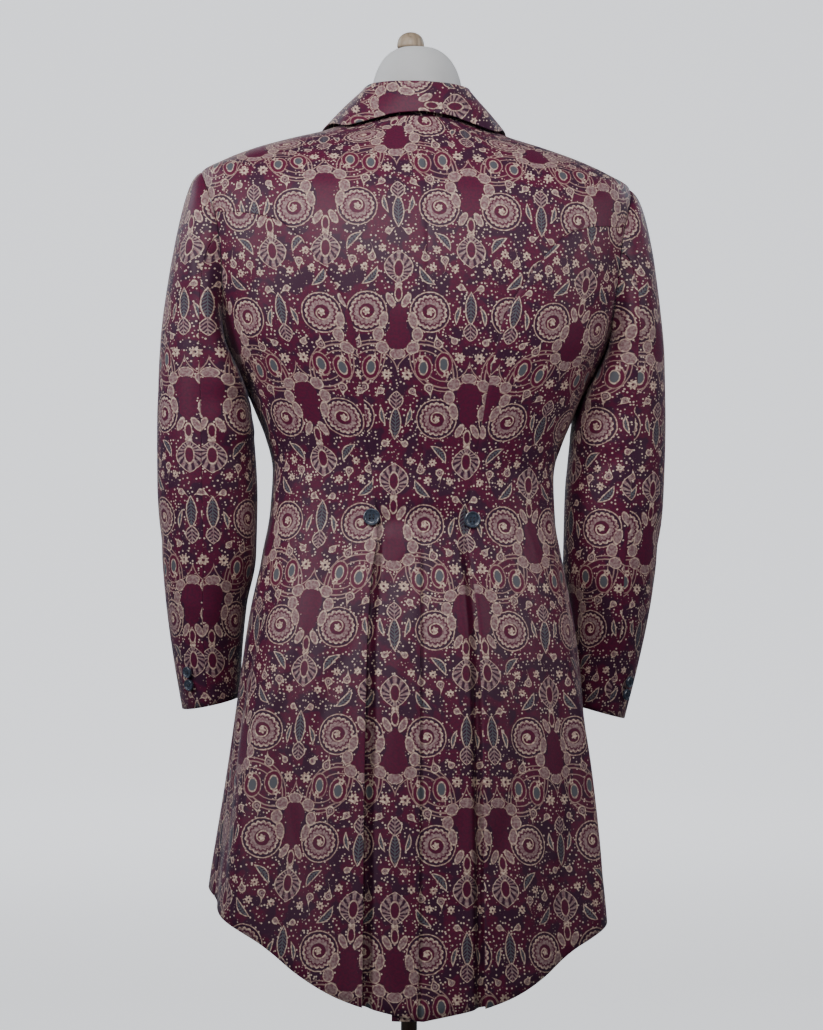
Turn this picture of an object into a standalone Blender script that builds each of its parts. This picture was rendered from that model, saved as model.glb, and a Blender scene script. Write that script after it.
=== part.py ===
import math

import bpy
import numpy as np

# Frock coat on a limbless dress form, seen from the back at +Y; metres, +Z up, the wearer's left at +X.

# Cloth
WALL = 0.0018
SEAM = 0.0002
LAYER = 0.0025

# Lean of the dressed form against its upright pole
LEAN_UP = 0.028
LEAN_ACROSS = -0.010
LEAN_LEVEL = 0.58

# Sections of the coat round the body, from the neck down to the hem
RING_COLUMNS = ("z", "half_width", "back", "front", "power")
RINGS = (
    (1.5340, 0.0750, 0.0625, 0.0550, 2.0),
    (1.5185, 0.1156, 0.0700, 0.0600, 2.0),
    (1.5075, 0.1560, 0.0770, 0.0640, 2.1),
    (1.4935, 0.2000, 0.0860, 0.0710, 2.2),
    (1.4780, 0.2350, 0.0960, 0.0790, 2.4),
    (1.4630, 0.2590, 0.1050, 0.0880, 2.5),
    (1.4400, 0.2620, 0.1170, 0.1000, 2.6),
    (1.4000, 0.2590, 0.1290, 0.1170, 2.6),
    (1.3400, 0.2500, 0.1370, 0.1320, 2.6),
    (1.3000, 0.2400, 0.1375, 0.1370, 2.6),
    (1.2700, 0.2310, 0.1350, 0.1385, 2.6),
    (1.2400, 0.2185, 0.1310, 0.1385, 2.5),
    (1.1780, 0.1905, 0.1180, 0.1350, 2.4),
    (1.1480, 0.1785, 0.1110, 0.1320, 2.35),
    (1.1100, 0.1695, 0.1045, 0.1285, 2.3),
    (1.0600, 0.1720, 0.1030, 0.1265, 2.3),
    (1.0090, 0.1810, 0.1100, 0.1280, 2.3),
    (0.9330, 0.1960, 0.1280, 0.1320, 2.3),
    (0.8360, 0.2090, 0.1450, 0.1370, 2.25),
    (0.7000, 0.2260, 0.1590, 0.1440, 2.2),
    (0.6000, 0.2390, 0.1680, 0.1490, 2.2),
    (0.4700, 0.2540, 0.1760, 0.1560, 2.2),
)

# Armhole, an oval on the side of the body
ARMHOLE_TOP = 1.463
ARMHOLE_BOTTOM = 1.272
ARMHOLE_BACK = 0.066
ARMHOLE_FRONT = 0.070

# Seam between the back and the side back, from the armhole to the waist button
SIDE_BACK_COLUMNS = ("z", "across")
SIDE_BACK = (
    (1.4120, 0.2455),
    (1.4090, 0.2150),
    (1.4040, 0.1860),
    (1.3960, 0.1660),
    (1.3680, 0.1390),
    (1.3360, 0.1160),
    (1.3110, 0.0990),
    (1.2740, 0.0840),
    (1.2100, 0.0740),
    (1.1350, 0.0640),
    (1.0600, 0.0540),
)

# Fold edge of the back pleat, below the waist button
PLEAT_COLUMNS = ("z", "across")
PLEAT = (
    (1.0600, 0.0540),
    (1.0300, 0.0530),
    (1.0080, 0.0570),
    (0.9620, 0.0625),
    (0.9160, 0.0655),
    (0.7900, 0.0685),
    (0.6750, 0.0700),
    (0.4700, 0.0710),
)
PLEAT_UNDER = 0.024

# Centre back: the seam, then the vent, whose left tail laps over the right
CENTRE_COLUMNS = ("z", "across")
CENTRE = (
    (1.5340, 0.0000),
    (1.0600, 0.0010),
    (0.9600, 0.0030),
    (0.7900, 0.0050),
    (0.4700, 0.0070),
)
VENT_TOP = 1.056
VENT_DEEP = 1.030
VENT_LAP = 0.030

# Hem height round half the skirt, from the centre back (90 degrees) to the centre front (-90)
HEM_COLUMNS = ("angle", "z")
HEM = (
    (-90.0, 0.6300),
    (-50.0, 0.6200),
    (-20.0, 0.6060),
    (0.0, 0.5960),
    (20.0, 0.5840),
    (40.0, 0.5600),
    (55.0, 0.5260),
    (70.0, 0.4980),
    (90.0, 0.4780),
)

# Soft folds of the skirt: where they stand at the hem, how high and how wide
FOLD_COLUMNS = ("angle", "height", "width", "start")
FOLDS = (
    (49.0, -0.0075, 9.0, 1.00),
    (29.0, 0.0085, 9.0, 0.98),
    (6.0, -0.0070, 9.0, 0.90),
    (-16.0, 0.0080, 9.0, 0.88),
    (-40.0, -0.0060, 10.0, 0.86),
    (-62.0, 0.0050, 9.0, 0.84),
)

# Front edge of the forepart: neck, lapel roll, then the buttoned edge
FRONT_COLUMNS = ("z", "across")
FRONT_EDGE = (
    (1.5335, 0.0740),
    (1.5250, 0.0790),
    (1.5100, 0.0800),
    (1.4900, 0.0775),
    (1.4500, 0.0680),
    (1.4000, 0.0560),
    (1.3000, 0.0320),
    (1.2150, 0.0110),
)
FRONT_CLOSE = 1.2150
FRONT_LAP = 0.020
FRONT_BUTTONS = (1.185, 1.120, 1.055)

# Lapel: the height on the roll line, and the point on its outer edge
LAPEL_COLUMNS = ("roll_z", "outer_x", "outer_z")
LAPEL = (
    (1.4975, 0.1050, 1.4880),
    (1.4920, 0.1300, 1.4800),
    (1.4780, 0.1370, 1.4660),
    (1.4480, 0.1370, 1.4360),
    (1.4080, 0.1280, 1.3960),
    (1.3580, 0.1090, 1.3480),
    (1.3080, 0.0840, 1.3000),
    (1.2680, 0.0590, 1.2620),
    (1.2450, 0.0420, 1.2410),
)
LAPEL_LIFT = 0.0032

# Half collar from the centre back to its front end: foot, fold line and edge of the leaf
COLLAR_COLUMNS = (
    "foot_x", "foot_y", "foot_z", "fold_x", "fold_y", "fold_z", "edge_x", "edge_y", "edge_z",
)
COLLAR = (
    (0.0000, 0.0610, 1.5352, 0.0000, 0.0575, 1.5745, 0.0000, 0.0690, 1.5400),
    (0.0280, 0.0567, 1.5352, 0.0262, 0.0522, 1.5742, 0.0310, 0.0650, 1.5370),
    (0.0520, 0.0434, 1.5352, 0.0465, 0.0387, 1.5740, 0.0610, 0.0590, 1.5290),
    (0.0685, 0.0240, 1.5352, 0.0590, 0.0205, 1.5735, 0.0900, 0.0500, 1.5220),
    (0.0742, 0.0000, 1.5352, 0.0627, -0.0020, 1.5725, 0.1050, 0.0060, 1.5290),
    (0.0790, -0.0250, 1.5332, 0.0650, -0.0240, 1.5660, 0.1130, -0.0320, 1.5220),
    (0.0830, -0.0470, 1.5240, 0.0720, -0.0470, 1.5440, 0.1130, -0.0580, 1.5090),
    (0.0820, -0.0640, 1.5090, 0.0790, -0.0680, 1.5150, 0.1060, -0.0735, 1.4960),
)
COLLAR_TURN = 0.0021

# Sleeve sections: the outer point, the inner point, the middle front to back and the half depth
SLEEVE_COLUMNS = ("outer_x", "outer_z", "inner_x", "inner_z", "y", "half_depth", "power")
SLEEVE = (
    (0.2690, 1.4680, 0.2360, 1.2660, -0.0020, 0.0710, 2.2),
    (0.2800, 1.4450, 0.2340, 1.2550, -0.0030, 0.0770, 2.2),
    (0.2880, 1.3900, 0.2275, 1.2380, -0.0045, 0.0790, 2.2),
    (0.2980, 1.3300, 0.2160, 1.2120, -0.0060, 0.0780, 2.1),
    (0.3060, 1.2600, 0.2020, 1.1820, -0.0070, 0.0750, 2.1),
    (0.3090, 1.1700, 0.1920, 1.1300, -0.0080, 0.0710, 2.0),
    (0.3080, 1.0900, 0.1885, 1.0700, -0.0110, 0.0670, 2.0),
    (0.3020, 1.0100, 0.1890, 1.0050, -0.0200, 0.0630, 2.0),
    (0.2950, 0.9400, 0.1990, 0.9450, -0.0360, 0.0600, 2.0),
    (0.2860, 0.8800, 0.2030, 0.8900, -0.0540, 0.0580, 2.0),
    (0.2740, 0.8150, 0.2050, 0.8320, -0.0740, 0.0560, 2.0),
)
HINDARM = 82.0
FOREARM = 262.0
SLEEVE_GAP = 0.0007
SLEEVE_SEAT = 0.0026
SLEEVE_HEAD = 0.22

# Buttons
WAIST_BUTTON = 0.0200
CUFF_BUTTON = 0.0140
BUTTON_THICK = 0.0036
CUFF_BUTTON_RISE = (0.030, 0.046)

# Dress form, pole and base
FORM_BOTTOM = 0.880
FORM_SEAT = 0.0018
FORM_SEAT_FRONT = 0.0026
FORM_CLEAR = 0.0140
NECK_RADIUS = 0.0560
NECK_TOP = 1.6250
FINIAL_RADIUS = 0.0165
FINIAL_HEIGHT = 0.0190
POLE_RADIUS = 0.0098
BASE_RADIUS = 0.1700
BASE_THICK = 0.0160

# Mesh density: rows of the bodice, and how far down the skirt each of its rows lies
ROWS_BODICE = 13
WAIST = 1.060
SKIRT_LEAST = 0.500
SKIRT_STEPS = (0.018, 0.036, 0.054, 0.078, 0.110, 0.165, 0.250, 0.360, 0.480, 0.610, 0.740, 0.870, 1.0)


def clear_scene():
    for obj in list(bpy.data.objects):
        bpy.data.objects.remove(obj, do_unlink=True)


def slopes(x, y):
    """Slopes of a curve through the points that never overshoots them."""
    step = np.diff(x)
    rise = np.diff(y) / step
    found = np.zeros(len(x))
    found[0] = rise[0]
    found[-1] = rise[-1]
    for i in range(1, len(x) - 1):
        if rise[i - 1] * rise[i] > 0:
            one = 2 * step[i] + step[i - 1]
            two = step[i] + 2 * step[i - 1]
            found[i] = (one + two) / (one / rise[i - 1] + two / rise[i])
    return found


def through(table, column, at):
    """One column of a table, read smoothly at any value of its first column."""
    rows = np.array(table, float)
    rows = rows[np.argsort(rows[:, 0])]
    x = rows[:, 0]
    y = rows[:, column]
    slope = slopes(x, y)
    at = np.clip(np.asarray(at, float), x[0], x[-1])
    i = np.clip(np.searchsorted(x, at, side="right") - 1, 0, len(x) - 2)
    step = x[i + 1] - x[i]
    u = (at - x[i]) / step
    return (
        (1 + 2 * u) * (1 - u) ** 2 * y[i]
        + u * (1 - u) ** 2 * step * slope[i]
        + u * u * (3 - 2 * u) * y[i + 1]
        + u * u * (u - 1) * step * slope[i + 1]
    )


def ease(value):
    value = np.clip(value, 0.0, 1.0)
    return value * value * (3 - 2 * value)


def on_ring(angle, z):
    """Point of the body surface at an angle round its section; 90 degrees is the centre back."""
    width = through(RINGS, 1, z)
    power = through(RINGS, 4, z)
    cos = np.cos(angle)
    sin = np.sin(angle)
    depth = np.where(sin > 0, through(RINGS, 2, z), through(RINGS, 3, z))
    reach = (np.abs(cos) ** power + np.abs(sin) ** power) ** (1 / power)
    return np.stack([width * cos / reach, depth * sin / reach, np.asarray(z) + 0 * cos], axis=-1)


def normal_at(angle, z):
    turn = 0.004
    rise = 0.0008
    high = np.minimum(np.asarray(z) + rise, RINGS[0][0])
    low = high - 2 * rise
    along = on_ring(angle + turn, z) - on_ring(angle - turn, z)
    up = on_ring(angle, high) - on_ring(angle, low)
    out = np.cross(along, up)
    return out / np.linalg.norm(out, axis=-1, keepdims=True)


def angle_at(across, z, front=False):
    """Angle at which the section at this height is that far from the middle."""
    power = through(RINGS, 4, z)
    part = np.clip(np.abs(across) / through(RINGS, 1, z), 0, 1)
    rest = (1 - part**power) ** (1 / power)
    return np.arctan2(-rest if front else rest, part * np.where(np.asarray(across) < 0, -1, 1))


def armhole(turn):
    """Angle and height on the armhole oval; 0 at the top, half a circle at the bottom by way of the back."""
    middle = (ARMHOLE_TOP + ARMHOLE_BOTTOM) / 2
    half = (ARMHOLE_TOP - ARMHOLE_BOTTOM) / 2
    z = middle + half * np.cos(turn)
    side = np.sin(turn)
    y = np.where(side > 0, ARMHOLE_BACK, ARMHOLE_FRONT) * side
    power = through(RINGS, 4, z)
    depth = np.where(y > 0, through(RINGS, 2, z), through(RINGS, 3, z))
    part = np.clip(np.abs(y) / depth, 0, 1)
    return np.arctan2(part * np.sign(y), (1 - part**power) ** (1 / power)), z


def hem_at(angle):
    return through(HEM, 1, np.degrees(angle))


def folds_at(angle, z):
    """Height of the soft folds at a place on the skirt."""
    total = np.zeros(np.broadcast(angle, z).shape)
    for place, height, width, start in FOLDS:
        grown = ease((start - z) / (start - 0.56))
        total = total + height * grown * np.exp(-(((np.degrees(angle) - place) / width) ** 2))
    return total


def lean(points):
    points = np.array(points, float)
    x = points[..., 0].copy()
    z = points[..., 2].copy()
    points[..., 0] = x + LEAN_ACROSS * (z - LEAN_LEVEL)
    points[..., 2] = z + LEAN_UP * x
    return points


def material(name, colour, roughness, metallic=0.0):
    made = bpy.data.materials.new(name)
    made.use_nodes = True
    shader = made.node_tree.nodes["Principled BSDF"]
    shader.inputs["Base Color"].default_value = (*colour, 1.0)
    shader.inputs["Roughness"].default_value = roughness
    shader.inputs["Metallic"].default_value = metallic
    return made


def add_object(name, points, faces, colour, roughness, smooth=True):
    mesh = bpy.data.meshes.new(name)
    mesh.from_pydata([tuple(map(float, p)) for p in points], [], faces)
    mesh.validate()
    mesh.polygons.foreach_set("use_smooth", [smooth] * len(mesh.polygons))
    mesh.materials.append(material(name + "_mat", colour, roughness))
    obj = bpy.data.objects.new(name, mesh)
    COLLECTION.objects.link(obj)
    return obj


def grid_normals(grid):
    down = np.gradient(grid, axis=0)
    across = np.gradient(grid, axis=1)
    out = np.cross(across, down)
    return out / np.linalg.norm(out, axis=2, keepdims=True)


def cloth(name, grid, colour, outward, exact=False, ghosts=0):
    """A closed cloth wall of even thickness about a grid of points; ghost columns only steady its edges."""
    grid = np.array(grid, float)
    out = outward if exact else grid_normals(grid)
    if float(np.sum(out * outward)) < 0:
        out = -out
    if ghosts:
        grid = grid[:, ghosts:-ghosts]
        out = out[:, ghosts:-ghosts]
    rows, cols = grid.shape[:2]
    face = grid + out * WALL / 2
    under = grid - out * WALL / 2
    points = np.concatenate([face.reshape(-1, 3), under.reshape(-1, 3)])
    count = rows * cols
    faces = []
    for i in range(rows - 1):
        for j in range(cols - 1):
            a = i * cols + j
            b = a + 1
            c = a + cols + 1
            d = a + cols
            faces.append((a, b, c, d))
            faces.append((d + count, c + count, b + count, a + count))
    ring = [j for j in range(cols)]
    ring += [i * cols + cols - 1 for i in range(1, rows)]
    ring += [(rows - 1) * cols + j for j in range(cols - 2, -1, -1)]
    ring += [i * cols for i in range(rows - 2, 0, -1)]
    for k, a in enumerate(ring):
        b = ring[(k + 1) % len(ring)]
        faces.append((b, a, a + count, b + count))
    side = np.cross(grid[0, 1] - grid[0, 0], grid[1, 0] - grid[0, 0])
    if float(np.dot(side, out[0, 0])) < 0:
        faces = [f[::-1] for f in faces]
    return add_object(name, lean(points), faces, colour, 0.62)


def both_sides(name, make, colour, exact=False, ghosts=0):
    """The wearer's left piece, and the right one as its mirror image."""
    for side, word in ((1, "left"), (-1, "right")):
        grid, outward = make(side)
        grid = grid.copy()
        outward = outward.copy()
        if side < 0:
            grid[..., 0] *= -1
            outward[..., 0] *= -1
        cloth(f"{name}_{word}", grid, colour, outward, exact, ghosts)


def patch(left, right, columns, skirt_from, lift):
    """Grid on the body surface between two edges given as rows of angle and height."""
    left = np.array(left, float)
    right = np.array(right, float)
    u = np.linspace(0, 1, columns)
    angle = left[:, :1] * (1 - u) + right[:, :1] * u
    z = left[:, 1:] * (1 - u) + right[:, 1:] * u
    share = np.array(SKIRT_STEPS[-(len(left) - skirt_from):])[:, None]
    hem = WAIST + (hem_at(angle[skirt_from:]) - WAIST) * share
    z = np.concatenate([z[:skirt_from], hem])

    def place(turn, height):
        return on_ring(turn, height) + normal_at(turn, height) * lift(turn, height)[..., None]

    high = np.minimum(z + 0.0008, RINGS[0][0])
    along = place(angle + 0.003, z) - place(angle - 0.003, z)
    out = np.cross(along, place(angle, high) - place(angle, high - 0.0016))
    return place(angle, z), out / np.linalg.norm(out, axis=2, keepdims=True)


def edge_gap(angle, z, toward):
    """The angle moved by half a seam gap."""
    reach = np.linalg.norm(on_ring(angle, z)[..., :2], axis=-1)
    return angle + toward * (SEAM + 0.0001) / reach


def seam_rows(toward):
    """Heights and distances along the side-back seam, at even steps, moved half its gap out (1) or in (-1)."""
    fine = np.linspace(0, 1, 400)
    rows = np.array(SIDE_BACK, float)
    length = np.concatenate([[0], np.cumsum(np.hypot(*np.diff(rows, axis=0).T))])
    z = np.interp(fine, length / length[-1], rows[:, 0])
    across = np.interp(fine, length / length[-1], rows[:, 1])
    kernel = np.ones(25) / 25
    padded = np.concatenate([np.full(12, z[0]), z, np.full(12, z[-1])])
    z = np.convolve(padded, kernel, "valid") + 0 * z
    padded = np.concatenate([np.full(12, across[0]), across, np.full(12, across[-1])])
    across = np.convolve(padded, kernel, "valid")
    z[0], z[-1] = rows[0, 0], rows[-1, 0]
    across[0], across[-1] = rows[0, 1], rows[-1, 1]
    pick = np.round(np.linspace(0, 399, ROWS_BODICE)).astype(int)
    z, across = z[pick], across[pick]
    run_x = np.gradient(across)
    run_z = np.gradient(z)
    length = np.hypot(run_x, run_z)
    across = across - toward * run_z / length * (SEAM + 0.0001)
    z = z + toward * run_x / length * (SEAM + 0.0001)
    return z, across


def skirt_levels():
    """Heights of the skirt's rows at the pleat, before the hem shapes them."""
    return WAIST - (WAIST - SKIRT_LEAST) * np.array(SKIRT_STEPS)


def recess(z):
    """How far the centre tails lie beneath the pleats."""
    return 2 * LAYER * ease((1.085 - z) / (1.085 - 1.050))


def back(side):
    """Back with its tail: neck, shoulder seam, armhole, side-back seam, then under the pleat to the hem."""
    upper = np.array([1.5340, 1.5260, 1.5185, 1.5075, 1.4935, 1.4780, 1.4700])
    turns = np.array([0.10, 0.45, 0.72, 0.95])
    hole_angle, hole_z = armhole(turns)
    seam_z, seam_x = seam_rows(-1)
    skirt = skirt_levels()
    under = PLEAT_UNDER * ease((1.052 - skirt) / 0.022)
    skirt_x = through(PLEAT, 1, skirt) + under
    outer_z = np.concatenate([upper, hole_z, seam_z, skirt])
    outer_angle = np.concatenate([
        edge_gap(np.zeros(len(upper)), upper, 1) + 0.003,
        edge_gap(hole_angle, hole_z, 1),
        angle_at(seam_x, seam_z),
        angle_at(skirt_x, skirt),
    ])
    inner_z = np.concatenate([upper[:4], np.linspace(1.4950, 1.4200, len(upper)), seam_z, skirt])
    centre = through(CENTRE, 1, inner_z)
    lap = ease((VENT_DEEP - 0.002 - inner_z) / 0.02) * VENT_LAP if side < 0 else 0 * inner_z
    inner_angle = angle_at((centre if side > 0 else -centre - lap), inner_z)
    inner_angle = edge_gap(inner_angle, inner_z, -1)

    def lift(angle, z):
        x = on_ring(angle, z)[..., 0]
        raised = 0 * x
        if side > 0:
            raised = LAYER * ease((VENT_TOP - z) / (VENT_TOP - VENT_DEEP)) * ease((0.056 - x) / 0.020)
        return raised - recess(z) + folds_at(angle, z) * ease((x - 0.06) / 0.02)

    return patch(
        np.stack([inner_angle, inner_z], 1),
        np.stack([outer_angle, outer_z], 1),
        9,
        len(outer_z) - len(SKIRT_STEPS),
        lift,
    )


def side_back(side):
    """Side back, cut in one from the armhole to the hem, its lower edge the fold of the pleat."""
    seam_z, seam_x = seam_rows(1)
    skirt = skirt_levels()
    inner_z = np.concatenate([seam_z, skirt])
    inner_x = np.concatenate([seam_x, through(PLEAT, 1, skirt)])
    inner_angle = angle_at(inner_x, inner_z)
    turns = np.linspace(1.11, math.pi, 8)
    hole_angle, hole_z = armhole(turns)
    hole_angle[-1] = 0.0
    low = np.linspace(ARMHOLE_BOTTOM, 1.0600, ROWS_BODICE - 7)[1:]
    outer_z = np.concatenate([hole_z, low, skirt])
    outer_angle = np.concatenate([hole_angle, 0 * low, 0 * skirt])
    outer_angle = edge_gap(outer_angle, outer_z, 1)
    outer_angle[:7] = edge_gap(hole_angle[:7], hole_z[:7], 1)
    return patch(
        np.stack([inner_angle, inner_z], 1),
        np.stack([outer_angle, outer_z], 1),
        11,
        len(outer_z) - len(SKIRT_STEPS),
        folds_at,
    )


def pleat(side):
    """The layer turned in beneath the pleat's fold edge."""
    z = skirt_levels()[2:]
    across = through(PLEAT, 1, z)
    inner = edge_gap(angle_at(across + 0.001, z), z, -1)
    outer = angle_at(across + PLEAT_UNDER, z)
    left = np.stack([inner, z], 1)
    right = np.stack([outer, z], 1)
    return patch(left, right, 4, 0, lambda a, h: folds_at(a, h) - LAYER)


def forepart(side):
    """Forepart: shoulder, front of the armhole, side seam, hem and the buttoned front edge."""
    upper = np.array([1.5335, 1.5260, 1.5185, 1.5075, 1.4935, 1.4780, 1.4700])
    turns = np.array([-0.10, -0.45, -0.80, -1.15, -1.50, -1.85, -2.20, -2.55, -2.90, -math.pi])
    hole_angle, hole_z = armhole(turns)
    hole_angle[-1] = 0.0
    low = np.linspace(ARMHOLE_BOTTOM, 1.0600, ROWS_BODICE - 7)[1:]
    skirt = skirt_levels()
    outer_z = np.concatenate([upper, hole_z, low, skirt])
    outer_angle = np.concatenate([np.zeros(len(upper)) - 0.003, hole_angle, 0 * low, 0 * skirt])
    outer_angle = edge_gap(outer_angle, outer_z, -1)
    rows = len(upper) + len(hole_z) + len(low)
    inner_z = np.concatenate([upper[:4], np.linspace(1.4950, 1.0600, rows - 4), skirt])
    edge = through(FRONT_EDGE, 1, np.maximum(inner_z, FRONT_CLOSE))
    closed = ease((FRONT_CLOSE + 0.012 - inner_z) / 0.024)
    inner_x = edge * (1 - closed) + -FRONT_LAP * closed
    inner_angle = angle_at(inner_x, inner_z, front=True)

    def lift(angle, z):
        x = on_ring(angle, z)[..., 0]
        raised = 0 * x
        if side > 0:
            raised = LAYER * 1.1 * ease((FRONT_CLOSE + 0.024 - z) / 0.016) * ease((0.062 - x) / 0.030)
        return raised + folds_at(angle, z)

    return patch(
        np.stack([outer_angle, outer_z], 1),
        np.stack([inner_angle, inner_z], 1),
        11,
        len(outer_z) - len(SKIRT_STEPS),
        lift,
    )


def lapel(side):
    """Lapel folded back on the forepart, with the roll of its folded edge."""
    rows = np.array(LAPEL)
    roll_x = through(FRONT_EDGE, 1, rows[:, 0])
    start = angle_at(roll_x, rows[:, 0], front=True)
    end = angle_at(rows[:, 1], rows[:, 2], front=True)
    shares = np.array([0.0, 0.14, 0.30, 0.48, 0.66, 0.84, 1.0])
    angle = start[:, None] + (end - start)[:, None] * shares
    z = rows[:, :1] + (rows[:, 2] - rows[:, 0])[:, None] * shares
    out = normal_at(angle, z)
    leaf = on_ring(angle, z) + out * LAPEL_LIFT
    leaf = leaf + out * 0.004 * np.sin(np.pi * np.sqrt(shares))[None, :, None] * 0.6
    edge = on_ring(angle[:, 0], z[:, 0])
    away = edge - on_ring(angle[:, 1], z[:, 1])
    away = away / np.linalg.norm(away, axis=1, keepdims=True)
    half = LAPEL_LIFT / 2
    roll = []
    for turn in (-80.0, -40.0, 0.0, 40.0, 80.0):
        reach = half * math.cos(math.radians(turn)) + WALL
        height = half + half * math.sin(math.radians(turn))
        roll.append(edge + away * (reach + 0.0012) + out[:, 0] * height)
    grid = np.concatenate([np.stack(roll, 1), leaf], axis=1)
    return grid, np.concatenate([np.zeros_like(grid[:, :5]), out], axis=1)


def smooth_rows(table, count):
    """A table's rows read as smooth curves through their points."""
    rows = np.array(table)
    keys = np.arange(len(rows), dtype=float)
    keyed = np.column_stack([keys, rows])
    at = np.linspace(0, len(rows) - 1, count)
    return np.column_stack([through(keyed, c + 1, at) for c in range(rows.shape[1])])


def collar():
    """Turned-down collar in one piece: stand, fold and leaf, from one front end to the other."""
    half = smooth_rows(COLLAR, 11)
    stations = np.concatenate([half[:0:-1] * np.array([-1, 1, 1] * 3), half])
    foot, fold, edge = stations[:, :3], stations[:, 3:6], stations[:, 6:]
    outward = fold - np.array([0, -0.004, 0])
    outward[:, 2] = 0
    outward = outward / np.linalg.norm(outward, axis=1, keepdims=True)
    up = np.array([0, 0, 1.0])
    columns = [foot, (foot * 2 + fold) / 3 - outward * 0.0005, (foot + fold * 2) / 3 - outward * COLLAR_TURN]
    for turn in (180.0, 135.0, 90.0, 45.0, 0.0):
        across = math.cos(math.radians(turn)) * COLLAR_TURN
        rise = math.sin(math.radians(turn)) * COLLAR_TURN
        columns.append(fold + outward * across + up * rise)
    last = columns[-1]
    for share in (0.35, 0.70):
        columns.append(last + (edge - last) * share + outward * 0.002 * math.sin(math.pi * share))
    columns.append(edge)
    grid = np.stack(columns, 1)
    toward = np.zeros_like(grid)
    toward[:, -3:] = outward[:, None]
    cloth("collar", grid, BURGUNDY, toward)


def sleeve_rings():
    """Sleeve sections as functions of the angle round the sleeve; 0 is the outer side, 90 the back."""
    rows = smooth_rows(SLEEVE, 15)
    return rows


def sleeve_ring(row, turn, share):
    """One section of the sleeve, which starts as the armhole's own oval."""
    angle, z = armhole(turn)
    hole = on_ring(angle, z) + normal_at(angle, z) * SLEEVE_SEAT
    blend = ease(share / SLEEVE_HEAD)
    return hole * (1 - blend) + sleeve_point(row, turn) * blend


def sleeve_point(row, turn):
    outer = np.array([row[0], 0, row[1]])
    inner = np.array([row[2], 0, row[3]])
    middle = (outer + inner) / 2
    spoke = (outer - inner) / 2
    power = row[6]
    cos = np.cos(turn)
    sin = np.sin(turn)
    reach = (np.abs(cos) ** power + np.abs(sin) ** power) ** (1 / power)
    x = middle[0] + spoke[0] * cos / reach
    z = middle[2] + spoke[2] * cos / reach
    y = row[4] + row[5] * sin / reach
    return np.stack([x, y, z], -1)


def sleeve(side, first, last, columns):
    turns = np.radians(np.linspace(first, last, columns))
    rows = sleeve_rings()
    gap = SLEEVE_GAP / 2 / rows[-1][5]
    turns[0] += gap
    turns[-1] -= gap
    ghost = turns[2] - turns[1]
    turns = np.concatenate([[turns[0] - ghost], turns, [turns[-1] + ghost]])
    shares = np.linspace(0, 1, len(rows))
    wrapped = (turns + math.pi) % (2 * math.pi) - math.pi
    grid = np.stack([sleeve_ring(row, wrapped, share) for row, share in zip(rows, shares)])
    middle = np.stack([sleeve_point(row, np.radians(np.array([0.0, 180.0]))).mean(0) for row in rows])
    return grid, grid - middle[:, None]


def top_sleeve(side):
    return sleeve(side, FOREARM - 360, HINDARM, 11)


def under_sleeve(side):
    return sleeve(side, HINDARM, FOREARM, 11)


def loft(name, rings, colour, roughness, tilt=False):
    """A closed body through rings of equal length, listed from bottom to top."""
    count = len(rings[0])
    points = np.concatenate([np.array(r, float) for r in rings])
    if tilt:
        points = lean(points)
    faces = []
    for i in range(len(rings) - 1):
        for j in range(count):
            k = (j + 1) % count
            faces.append((i * count + j, i * count + k, (i + 1) * count + k, (i + 1) * count + j))
    faces.append(tuple(range(count - 1, -1, -1)))
    top = (len(rings) - 1) * count
    faces.append(tuple(top + j for j in range(count)))
    return add_object(name, points, faces, colour, roughness)


def form_torso():
    """Limbless torso: close beneath the coat's shoulders, clear of its sides and its skirt."""
    angles = np.radians(np.arange(0, 360, 10.0))
    rings = []
    heights = (0.880, 0.884, 0.900, 0.940, 1.000, 1.060, 1.110, 1.160, 1.220, 1.280, 1.340, 1.400, 1.440)
    for z in heights:
        clear = FORM_CLEAR + 0.030 * max(0.0, (0.905 - z) / 0.025) ** 2
        level = np.full(angles.shape, z)
        ring = on_ring(angles, level)
        flat_out = normal_at(angles, level)
        flat_out[:, 2] = 0
        flat_out = flat_out / np.linalg.norm(flat_out, axis=1, keepdims=True)
        rings.append(ring - flat_out * clear)
    for z, clear in ((1.4630, 0.011), (1.4720, 0.006), (1.4800, 0.003)):
        level = np.full(angles.shape, z)
        rings.append(on_ring(angles, level) - normal_at(angles, level) * clear)
    for z in (1.4935, 1.5075, 1.5185, 1.5270):
        level = np.full(angles.shape, z)
        seat = np.where(np.sin(angles) > -0.05, FORM_SEAT, FORM_SEAT_FRONT)[:, None]
        rings.append(on_ring(angles, level) - normal_at(angles, level) * seat)
    for z, radius in ((1.5330, 0.0600), (1.5400, NECK_RADIUS), (1.5640, NECK_RADIUS - 0.001)):
        wide = np.stack([radius * np.cos(angles), radius * 0.92 * np.sin(angles), np.full(angles.shape, z)], -1)
        rings.append(wide)
    loft("form_torso", rings, (0.78, 0.76, 0.72), 0.85, tilt=True)


def form_neck():
    """Smooth white cap that rounds off the neck of the form."""
    angles = np.radians(np.arange(0, 360, 10.0))
    rings = []
    low = 1.5644
    for turn in (0.0, 15.0, 30.0, 45.0, 58.0, 70.0):
        radius = (NECK_RADIUS - 0.001) * math.cos(math.radians(turn)) ** 0.75
        z = low + (NECK_TOP - low) * math.sin(math.radians(turn)) / math.sin(math.radians(70))
        rings.append(np.stack([radius * np.cos(angles), radius * 0.92 * np.sin(angles), np.full(angles.shape, z)], -1))
    loft("form_neck", rings, (0.86, 0.86, 0.86), 0.75, tilt=True)


def turned(name, profile, colour, roughness, x=0.0, segments=24):
    """A body of revolution about an upright axis; the profile runs from bottom to top."""
    angles = np.radians(np.arange(0, 360, 360 / segments))
    rings = [np.stack([x + r * np.cos(angles), r * np.sin(angles), np.full(angles.shape, z)], -1) for r, z in profile]
    return loft(name, rings, colour, roughness)


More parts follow.
